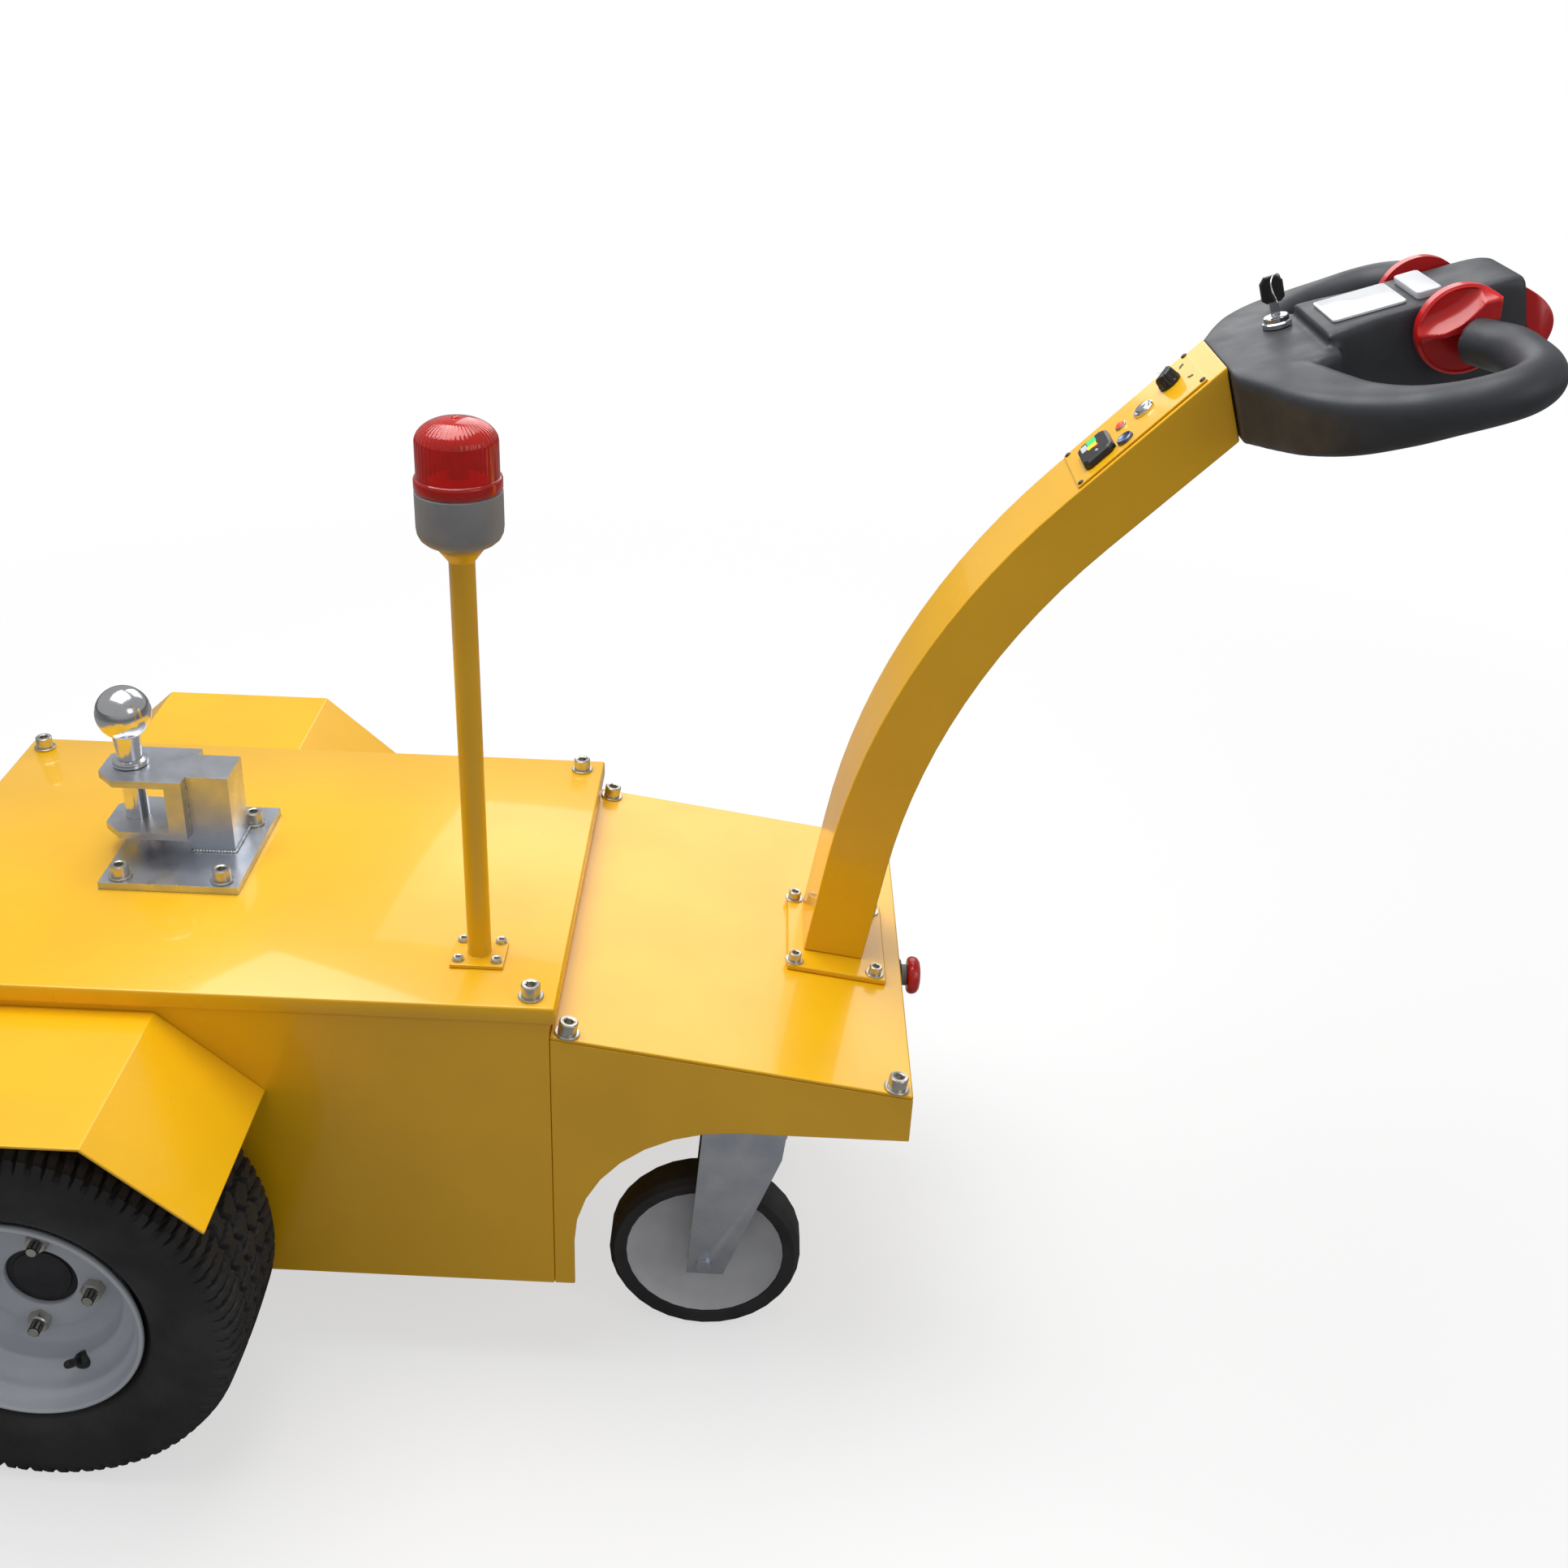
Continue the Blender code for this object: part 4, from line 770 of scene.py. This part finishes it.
class TUG_OT_panel_controls(bpy.types.Operator):
    """Control panel on the arm: screws, knob, push button, lamp, round button and battery gauge"""

    bl_idname = "tug.panel_controls"
    bl_label = "Panel"

    def execute(self, context):
        base = panel_frame()
        self.screws(base)
        self.knob(base @ Matrix.Translation((0.0450, -0.0080, 0)))
        self.buttons(base)
        self.gauge(base @ Matrix.Translation((0.130, 0.008, 0)))
        return {"FINISHED"}

    def screws(self, base):
        """Four dark pan-head screws and two generic arrows beside the knob."""
        shapes, slots = [], []
        for along in (0.0220, 0.1565):
            for across in (0.0405, -0.0405):
                spot = base @ Matrix.Translation((along, across, 0))
                shapes.append(moved(turned([(0, 0.0016), (0.0016, 0.0015), (0.0027, 0.0009), (0.0030, 0),
                                            (0, 0)], 20), spot))
                for turn in (0.5, 0.5 + math.pi / 2):
                    cross = spot @ Matrix.Rotation(turn, 4, "Z")
                    slots.append(moved(slab(rounded(0.0018, 0.0004, 0.0003, 1), 0.0013, 0.0017), cross))
        piece("panel_screws", shapes, look("black"), "chassis")
        piece("panel_screw_crosses", slots, look("grey"), "chassis")
        arrows = []
        for along, across, turn in ((0.0290, -0.024, 0.9), (0.0280, 0.0125, -0.9)):
            spot = base @ Matrix.Translation((along, across, 0)) @ Matrix.Rotation(turn, 4, "Z")
            head = [(-0.0045, 0.0), (0.0005, -0.0030), (0.0005, -0.0010), (0.0040, -0.0010), (0.0040, 0.0010),
                    (0.0005, 0.0010), (0.0005, 0.0030)]
            arrows.append(moved(slab(head, 0.0, 0.00015), spot))
        piece("panel_arrows", arrows, look("black"), "chassis")

    def knob(self, spot):
        """A tapered knob with grip flutes, a flat top and a pale line."""
        run = [(0, 0.0132), (0.0078, 0.0132), (0.0088, 0.0126), (0.0098, 0.0080), (0.0103, 0.0040),
               (0.0108, 0.0030), (0.0108, 0.0004), (0, 0.0004)]
        points, faces = turned(run, 96)
        angle = np.arctan2(points[:, 1], points[:, 0])
        reach = np.linalg.norm(points[:, :2], axis=1)
        flute = 0.0006 * np.clip(np.cos(12 * angle), 0, 1) * (points[:, 2] > 0.0035) * (reach > 0.004)
        points[:, :2] *= (1 - flute / np.maximum(reach, 0.001))[:, None]
        lean = np.clip((points[:, 0] * 0.6 - points[:, 1] * 0.8) / 0.0098, 0, 1)
        points[:, 2] -= 0.0045 * lean * (points[:, 2] > 0.0120)
        piece("speed_knob_skin", [moved((points, faces), spot)], look("black"), "chassis",
              ["speed_knob"], 30)
        line = slab(rounded(0.0030, 0.0004, 0.0003, 2), 0.0132, 0.0134)
        mark = spot @ Matrix.Rotation(2.2, 4, "Z") @ Matrix.Translation((-0.0035, 0, 0))
        piece("speed_knob_line", [moved(line, mark)], look("pale"), "chassis")

    def buttons(self, base):
        """A chrome push button in its ring, a lit lamp in a bezel and a dished round button."""
        push = [(0, 0.0052), (0.0040, 0.0051), (0.0066, 0.0046), (0.0074, 0.0038), (0.0076, 0.0026),
                (0.0082, 0.0024), (0.0086, 0.0030), (0.0096, 0.0030), (0.0104, 0.0020), (0.0105, 0.0002),
                (0, 0.0002)]
        spot = base @ Matrix.Translation((0.0765, 0.0015, 0))
        piece("start_button_skin", [moved(turned(push, 48), spot)], look("chrome"), "chassis",
              ["start_button"], 30)
        bezel = [(0.0044, 0.0016), (0.0047, 0.0022), (0.0054, 0.0020), (0.0058, 0.0012), (0.0058, 0.0002),
                 (0.0044, 0.0002)]
        spot = base @ Matrix.Translation((0.1012, -0.0045, 0))
        points, _ = turned(bezel, 32)
        ring = (points, quads(len(bezel), 32, wrap_rows=True, wrap_cols=True))
        piece("power_lamp_bezel", [moved(ring, spot)], look("chrome"), "chassis")
        a = np.linspace(0, math.pi / 2, 8)
        dome = np.column_stack([0.0043 * np.sin(a), 0.0015 + 0.0028 * np.cos(a)])
        run = [tuple(v) for v in dome] + [(0.0043, 0.0002), (0, 0.0002)]
        piece("power_lamp_skin", [moved(turned(run, 28), spot)], look("lit_red"), "chassis",
              ["power_lamp"], 30)
        dished = [(0, 0.0018), (0.0040, 0.0020), (0.0056, 0.0028), (0.0062, 0.0034), (0.0070, 0.0035),
                  (0.0079, 0.0026), (0.0082, 0.0002), (0, 0.0002)]
        spot = base @ Matrix.Translation((0.1035, 0.0298, 0))
        piece("horn_button_skin", [moved(turned(dished, 40), spot)], look("blued"), "chassis",
              ["horn_button"], 30)

    def gauge(self, spot):
        """A bevelled black housing with a window of level bars and a small blank plate."""
        wide, high = 0.0165, 0.024
        cut = 0.005
        low = [(-wide, cut - high), (cut - wide, -high), (wide - cut, -high), (wide, cut - high),
               (wide, high - cut), (wide - cut, high), (cut - wide, high), (-wide, high - cut)]
        levels = ((1.0, 0.0003), (1.0, 0.0036), (0.95, 0.0058), (0.86, 0.0072))
        rings = np.vstack([np.column_stack([np.asarray(low) * share, np.full(8, z)]) for share, z in levels])
        faces = quads(len(levels), 8, wrap_cols=True) + [list(range(8))[::-1], list(range(24, 32))]
        piece("battery_gauge_skin", [moved((rings, faces), spot)], look("black"), "chassis",
              ["battery_gauge"], 20)
        top = 0.0072
        table = (
            # name, along, across, half along, half across, finish
            ("gauge_bar_green", 0.0000, -0.0135, 0.0048, 0.0058, "led_green"),
            ("gauge_bar_yellow", 0.0010, -0.0036, 0.0048, 0.0038, "led_yellow"),
            ("gauge_bar_red", -0.0025, 0.0020, 0.0022, 0.0014, "led_red"),
            ("gauge_blank", 0.0088, -0.0100, 0.0032, 0.0070, "pale"),
        )
        for name, along, across, a, b, finish in table:
            plate = slab(rounded(a, b, 0.0006, 2), top, top + 0.0003)
            piece(name, [moved(plate, spot @ Matrix.Translation((along, across, 0)))], look(finish), "chassis")
        dot = turned([(0, top + 0.0012), (0.0012, top + 0.0009), (0.0017, top), (0, top)], 16)
        piece("gauge_dot", [moved(dot, spot @ Matrix.Translation((-0.0010, 0.0135, 0)))], look("pale"), "chassis")


class TUG_OT_head(bpy.types.Operator):
    """Tiller head: moulded neck, spine and handle loops, throttles, belly button and keys"""

    bl_idname = "tug.head"
    bl_label = "Tiller head"

    def execute(self, context):
        base = head_frame()
        self.moulding(base)
        self.throttles(base)
        self.buttons(base)
        self.keys(base @ Matrix.Translation((-0.020, 0.036, -0.0097)))
        return {"FINISHED"}

    def moulding(self, base):
        """The spine and the neck as square lofts, each loop as a loft from tall and square to round."""
        spine = lofted([(0.0005, 0, -0.041, 0.0595, 0.0405, 18), (0.020, 0, -0.041, 0.0565, 0.0408, 18),
                        (0.050, 0, -0.041, 0.0500, 0.0408, 18), (0.110, 0, -0.041, 0.0477, 0.0408, 18),
                        (0.150, 0, -0.041, 0.0458, 0.0408, 16), (0.1655, 0, -0.042, 0.0435, 0.0380, 10)],
                       24, 72)
        neck = lofted([(-0.0820, 0, -0.0430, 0.0490, 0.0325, 18), (-0.050, 0, -0.0430, 0.064, 0.0325, 14),
                       (-0.015, 0, -0.0430, 0.080, 0.0325, 12), (0.006, 0, -0.0440, 0.072, 0.0315, 10)], 20, 64)
        shapes = [spine, neck]
        for side, sign in SIDES:
            rows = (
                # s, y, h, half width, half height, squareness
                (-0.0815, 0.025, -0.0430, 0.0240, 0.0325, 12),
                (-0.0600, 0.052, -0.0432, 0.0270, 0.0325, 9),
                (-0.0420, 0.088, -0.0440, 0.0290, 0.0318, 7),
                (-0.0260, 0.122, -0.0452, 0.0290, 0.0300, 5),
                (-0.0040, 0.153, -0.0462, 0.0260, 0.0270, 3.6),
                (0.0280, 0.177, -0.0462, 0.0225, 0.0232, 2.6),
                (0.0600, 0.189, -0.0455, 0.0208, 0.0210, 2.1),
                (0.0880, 0.1935, -0.0450, 0.0205, 0.0205, 2),
                (0.1100, 0.1900, -0.0450, 0.0205, 0.0205, 2),
                (0.1260, 0.1770, -0.0450, 0.0205, 0.0205, 2),
                (0.1325, 0.1580, -0.0445, 0.0205, 0.0205, 2),
                (0.1330, 0.1350, -0.0430, 0.0205, 0.0205, 2),
                (0.1300, 0.1100, -0.0400, 0.0205, 0.0205, 2),
                (0.1200, 0.0900, -0.0370, 0.0200, 0.0200, 2),
                (0.1120, 0.0740, -0.0350, 0.0195, 0.0195, 2),
            )
            table = [(s, sign * y, h, w, t, n) for s, y, h, w, t, n in rows]
            shapes.append(lofted(table, 90, 40))
        for points, _ in shapes:
            points[:, 0] = np.maximum(points[:, 0], -0.0822)
        fused("tiller_head_skin", [moved(shape, base) for shape in shapes], "charcoal", "chassis",
              ["tiller_head"], 0.0021, 5)

    def throttles(self, base):
        """Each throttle is a disc whose face is a height over (x, z).

        The face is flat below a lever, steps up to the lever, and above the lever's crest
        z = 0.005 + 9.6 (x + 0.025)^2 falls away as (1 - distance)^2 to a hollow under the rim.
        """
        for side, sign in SIDES:
            spot = base @ Matrix.Translation((0.108, sign * 0.0508, -0.0275))
            spot = spot @ Matrix.Rotation(math.pi / 2, 4, "X")
            a = np.linspace(0, math.tau, 144, endpoint=False)[None, :]
            rim = np.full(a.shape, 0.038)
            flat = np.cos(a) - 0.26 * np.sin(a)
            rim = np.where(flat > 0.4, np.minimum(rim, 0.0256 / np.maximum(flat, 0.1)), rim)
            share = np.concatenate([np.linspace(0, 0.94, 44), [0.965, 0.985, 1.0]])[:, None]
            x, z = share * rim * np.cos(a), share * rim * np.sin(a)
            crest = np.minimum(0.0050 + 9.6 * (x + 0.025) ** 2, 0.0215)
            foot = 0.0006 + 0.12 * np.maximum(x, 0)
            up = step(z, foot - 0.0011, foot + 0.0011)
            over = np.clip((z - crest) / 0.017, 0, 1)
            face = 0.0100 + up * 0.0140 * (1 - over) ** 2.4 * (0.40 + 0.60 * step(x, -0.037, -0.016))
            face = np.maximum(face, 0.0118 * step(share, 0.80, 0.93))
            face = face - 0.0018 * step(share, 0.94, 1.0)
            top = np.stack([x, z, face], axis=-1)
            wall = np.stack([rim * np.cos(a), rim * np.sin(a), 0.0006 + 0 * a], axis=-1)
            back = np.stack([0 * a, 0 * a, 0.0006 + 0 * a], axis=-1)
            points = np.concatenate([top, wall, back]).reshape(-1, 3)
            points[:, 2] *= -sign
            faces = quads(len(share) + 2, 144, wrap_cols=True)
            piece("throttle_skin_" + side, [moved((points, faces), spot)], look("red"), "chassis",
                  ["throttle_" + side], 45)

    def buttons(self, base):
        """Belly button as a loft, the pale push plate and the blank display."""
        t = np.linspace(0, 1, 26)
        bulge = 0.0225 * np.sin(math.pi * t ** 1.1) ** 0.75
        arc = np.column_stack([0.1668 + bulge, -0.0130 - 0.0650 * t])
        inset = np.minimum(1, (1 - np.abs(np.linspace(-1, 1, 15)) ** 9) + 0.90)
        across = 0.0375 * np.sin(np.linspace(-math.pi / 2, math.pi / 2, 15))
        rings = []
        for y, share in zip(across, inset):
            rings.append(np.column_stack([0.1668 + (arc[:, 0] - 0.1668) * share, np.full(len(arc), y),
                                          -0.0455 + (arc[:, 1] + 0.0455) * (0.97 + 0.03 * share)]))
        n = len(arc)
        belly = (np.vstack(rings), quads(15, n, wrap_cols=True) + [list(range(n)), list(range(14 * n, 15 * n))])
        piece("belly_button_skin", [moved(belly, base)], look("red"), "chassis",
              ["belly_button"], 40)
        for name, x, y, a, b, low, high, finish in (
                ("signal_button", 0.0925, -0.002, 0.0105, 0.034, 0.0003, 0.0063, "pale"),
                # the display plate's pale finish carries a painted reflection
                ("display_blank", 0.043, 0.0, 0.0310, 0.034, 0.0003, 0.0023, "screen_painted_reflection")):
            e = 0.0012 if name == "signal_button" else 0.0004
            outline = rounded(a, b, 0.0040, 6)
            n = len(outline)
            levels = ((0.0, low), (0.0, high - e), (e * 0.3, high - e * 0.3), (e, high))
            rings = [np.column_stack([rounded(a - inset, b - inset, 0.0040 - inset, 6), np.full(n, z)])
                     for inset, z in levels]
            faces = quads(len(levels), n, wrap_cols=True)
            faces += [list(range(n))[::-1], list(range(3 * n, 4 * n))]
            plate = moved((np.vstack(rings), faces), base @ Matrix.Translation((x, y, 0)))
            piece(name + "_skin", [plate], look(finish), "chassis", [name], 30)

    def keys(self, spot):
        """The lock barrel, the key's blade, its dark bow, and the wire ring."""
        barrel = [(0, 0.0085), (0.0040, 0.0085), (0.0045, 0.0100), (0.0090, 0.0100), (0.0108, 0.0090),
                  (0.0112, 0.0050), (0.0128, 0.0040), (0.0130, 0.0003), (0, 0.0003)]
        piece("key_switch_skin", [moved(turned(barrel, 48), spot)], look("chrome"), "chassis",
              ["key_switch"], 30)
        upright = spot @ Matrix.Rotation(math.pi / 2, 4, "X")
        blade = slab([(-0.0040, 0.0090), (0.0040, 0.0090), (0.0040, 0.0225), (-0.0040, 0.0225)], -0.0010, 0.0010)
        piece("key_blade", [moved(blade, upright)], look("chrome"), "chassis")
        outer = np.array([(0.0060, 0.0215), (0.0100, 0.0250), (0.0100, 0.0400), (0.0055, 0.0455),
                          (-0.0055, 0.0455), (-0.0100, 0.0400), (-0.0100, 0.0250), (-0.0060, 0.0215)])
        middle = np.array([0.0, 0.0335])
        levels = ((1.0, -0.0026), (1.0, -0.0018), (1.0, 0.0018), (0.90, 0.0026))
        rings = [np.column_stack([middle + (outer - middle) * (0.90 if z < -0.0020 else share),
                                  np.full(8, z)]) for share, z in levels]
        faces = quads(4, 8, wrap_cols=True) + [list(range(8))[::-1], list(range(24, 32))]
        piece("switch_key_skin", [moved((np.vstack(rings), faces), upright)], look("black"), "chassis",
              ["switch_key"], 20)
        a = np.linspace(0, math.tau, 40, endpoint=False)
        loop = np.column_stack([0.0125 * np.cos(a), 0.0125 * np.sin(a), 0.0015 * np.sin(2 * a)])
        hang = upright @ Matrix.Translation((0.0040, 0.0330, 0)) @ Matrix.Rotation(1.1, 4, "Y")
        piece("key_ring", [moved(swept(loop, 0.0007, 8, True), hang)], look("chrome"), "chassis",
              (), 60)


class TUG_OT_stop(bpy.types.Operator):
    """Emergency stop on the skirt"""

    bl_idname = "tug.stop"
    bl_label = "Emergency stop"

    def execute(self, context):
        low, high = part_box("stop_button")
        y, z = (low.y + high.y) / 2, (low.z + high.z) / 2
        spot = framed(Vector((low.x, y, z)), Vector((0, 0, -1)), Vector((0, 1, 0)), Vector((1, 0, 0)))
        deep = high.x - low.x
        cap = [(0, deep), (0.0100, deep - 0.0002), (0.0150, deep - 0.0012), (0.0184, deep - 0.0036),
               (0.0199, deep - 0.0070), (0.0200, deep - 0.0100), (0.0188, 0.0012), (0.0170, 0.0), (0, 0)]
        piece("stop_button_skin", [moved(turned(cap, 56), spot)], look("red"), "chassis",
              ["stop_button"], 30)
        low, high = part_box("stop_barrel")
        spot = framed(Vector((low.x, y, z)), Vector((0, 0, -1)), Vector((0, 1, 0)), Vector((1, 0, 0)))
        long = high.x - low.x
        run = [(0, long), (0.0105, long), (0.0112, long - 0.0008), (0.0112, 0.0260), (0.0115, 0.0255),
               (0.0115, 0.0004), (0.0110, 0.0), (0, 0)]
        piece("stop_barrel_skin", [moved(turned(run, 40), spot)], look("grey"), "chassis",
              ["stop_barrel"], 30)
        nut_spot = spot @ Matrix.Translation((0, 0, 0.0243))
        collar = [(0.0117, 0.0), (0.0160, 0.0), (0.0165, 0.0006), (0.0165, 0.0024), (0.0155, 0.0032),
                  (0.0117, 0.0032)]
        points, _ = turned(collar, 40)
        ring = (points, quads(len(collar), 40, wrap_rows=True, wrap_cols=True))
        piece("stop_collar", [moved(ring, nut_spot)], look("black"), "chassis", (), 30)
        return {"FINISHED"}


class TUG_OT_casters(bpy.types.Operator):
    """Casters and the closed-in masses"""

    bl_idname = "tug.casters"
    bl_label = "Casters"

    def execute(self, context):
        for side, sign in SIDES:
            dressed("caster_plate_" + side, look("zinc"), "chassis", 0.0008)
            dressed("caster_fork_" + side, look("zinc"), "caster_swivel_" + side, 0.0008)
            dressed("caster_hub_" + side, look("pale"), "caster_wheel_" + side, 0.0)
            dressed("caster_tyre_" + side, look("tyre"), "caster_wheel_" + side, 0.001)
        dressed("battery_block", look("black"), "chassis", 0.002)
        dressed("drive_motor", look("iron"), "chassis", 0.002)
        return {"FINISHED"}


class TUG_OT_stage(bpy.types.Operator):
    """Floor, backdrop, lamps and camera"""

    bl_idname = "tug.stage"
    bl_label = "Stage"

    def execute(self, context):
        scene = context.scene
        scene.view_settings.view_transform = "Standard"
        self.floor()
        self.world(scene)
        self.lamps()
        self.camera(scene)
        return {"FINISHED"}

    def floor(self):
        """A flat white floor that keeps the shadow and turns plain white away from the tug."""
        mesh = bpy.data.meshes.new("floor")
        half = 40.0
        corners = [(-half, -half, 0), (half, -half, 0), (half, half, 0), (-half, half, 0)]
        mesh.from_pydata(corners, [], [(0, 1, 2, 3)])
        plate = bpy.data.objects.new("floor", mesh)
        bpy.context.scene.collection.objects.link(plate)
        made, tree, shader = principled("studio_floor", (0.30, 0.30, 0.30), 0.9)
        shader.inputs["Specular IOR Level"].default_value = 0.0
        glow = node(tree, "ShaderNodeEmission", Color=(1, 1, 1, 1), Strength=1.0)
        pale = node(tree, "ShaderNodeBsdfDiffuse", Color=(0.9, 0.9, 0.9, 1))
        place = tree.nodes.new("ShaderNodeTexCoord")
        away = tree.nodes.new("ShaderNodeVectorMath")
        away.operation = "LENGTH"
        tree.links.new(place.outputs["Object"], away.inputs[0])
        share = ranged(tree, away.outputs["Value"], 0.8, 2.6, 0.62, 1.0)
        seen = tree.nodes.new("ShaderNodeMixShader")
        tree.links.new(share.outputs[0], seen.inputs[0])
        tree.links.new(pale.outputs[0], seen.inputs[1])
        tree.links.new(glow.outputs[0], seen.inputs[2])
        path = tree.nodes.new("ShaderNodeLightPath")
        direct = tree.nodes.new("ShaderNodeMixShader")
        tree.links.new(path.outputs["Is Camera Ray"], direct.inputs[0])
        tree.links.new(shader.outputs[0], direct.inputs[1])
        tree.links.new(seen.outputs[0], direct.inputs[2])
        tree.links.new(direct.outputs[0], tree.nodes["Material Output"].inputs["Surface"])
        mesh.materials.append(made)

    def world(self, scene):
        """Even pale surroundings, seen by the camera as plain white."""
        world = bpy.data.worlds.new("studio")
        world.use_nodes = True
        scene.world = world
        tree = world.node_tree
        back = tree.nodes["Background"]
        path = tree.nodes.new("ShaderNodeLightPath")
        strength = ranged(tree, path.outputs["Is Camera Ray"], 0, 1, 0.38, 1.0)
        tree.links.new(strength.outputs[0], back.inputs["Strength"])
        back.inputs["Color"].default_value = (1, 1, 1, 1)

    def lamps(self):
        """Area lamps aimed at the tug's middle."""
        table = (
            # name, place, power in watts, size
            ("overhead_lamp", (-0.6, 0.3, 3.2), 85, 2.4),
            ("side_lamp", (2.4, -2.0, 2.0), 10, 1.6),
            ("back_lamp", (0.4, 2.8, 2.4), 22, 2.0),
        )
        for name, place, power, size in table:
            data = bpy.data.lights.new(name, "AREA")
            data.energy = power
            data.size = size
            lamp = bpy.data.objects.new(name, data)
            lamp.location = place
            lamp.rotation_euler = (Vector((0, 0, 0.45)) - Vector(place)).to_track_quat("-Z", "Y").to_euler()
            bpy.context.scene.collection.objects.link(lamp)

    def camera(self, scene):
        """A camera at standing height near the tug's right side."""
        yaw, pitch, roll = 0.0255, -0.4946, 0.0293
        right = Vector((math.cos(yaw), math.sin(yaw), 0))
        ahead = Vector((-math.sin(yaw) * math.cos(pitch), math.cos(yaw) * math.cos(pitch), math.sin(pitch)))
        up = right.cross(ahead)
        across = math.cos(roll) * right + math.sin(roll) * up
        above = -math.sin(roll) * right + math.cos(roll) * up
        data = bpy.data.cameras.new("camera")
        data.sensor_width = 36
        data.lens = 39.42
        data.shift_x = 0.0460
        view = bpy.data.objects.new("camera", data)
        turn = Matrix((across, above, -ahead)).transposed().to_4x4()
        view.matrix_world = Matrix.Translation((DRIVE_X + 0.6449, -1.5269, 1.3876)) @ turn
        scene.collection.objects.link(view)
        scene.camera = view


OPERATORS = (TUG_OT_body, TUG_OT_bolts, TUG_OT_wheels, TUG_OT_hitch, TUG_OT_lamp, TUG_OT_panel_controls,
             TUG_OT_head, TUG_OT_stop,
             TUG_OT_casters, TUG_OT_stage)


class TUG_PT_panel(bpy.types.Panel):
    """Lists the tug's settings and its pieces"""

    bl_label = "Tow Tug"
    bl_idname = "TUG_PT_panel"
    bl_space_type = "VIEW_3D"
    bl_region_type = "UI"
    bl_category = "Tow Tug"

    def draw(self, context):
        settings = context.scene.tug_looks
        for name in ("paint", "edge", "lugs"):
            self.layout.prop(settings, name)
        for operator in OPERATORS:
            self.layout.operator(operator.bl_idname)


def register():
    for kind in (TugLooks, *OPERATORS, TUG_PT_panel):
        bpy.utils.register_class(kind)
    bpy.types.Scene.tug_looks = PointerProperty(type=TugLooks)


def unregister():
    del bpy.types.Scene.tug_looks
    for kind in (TUG_PT_panel, *reversed(OPERATORS), TugLooks):
        bpy.utils.unregister_class(kind)


def main():
    """Build every piece in order."""
    register()
    for operator in OPERATORS:
        group, action = operator.bl_idname.split(".")
        getattr(getattr(bpy.ops, group), action)()


if __name__ == "__main__":
    main()
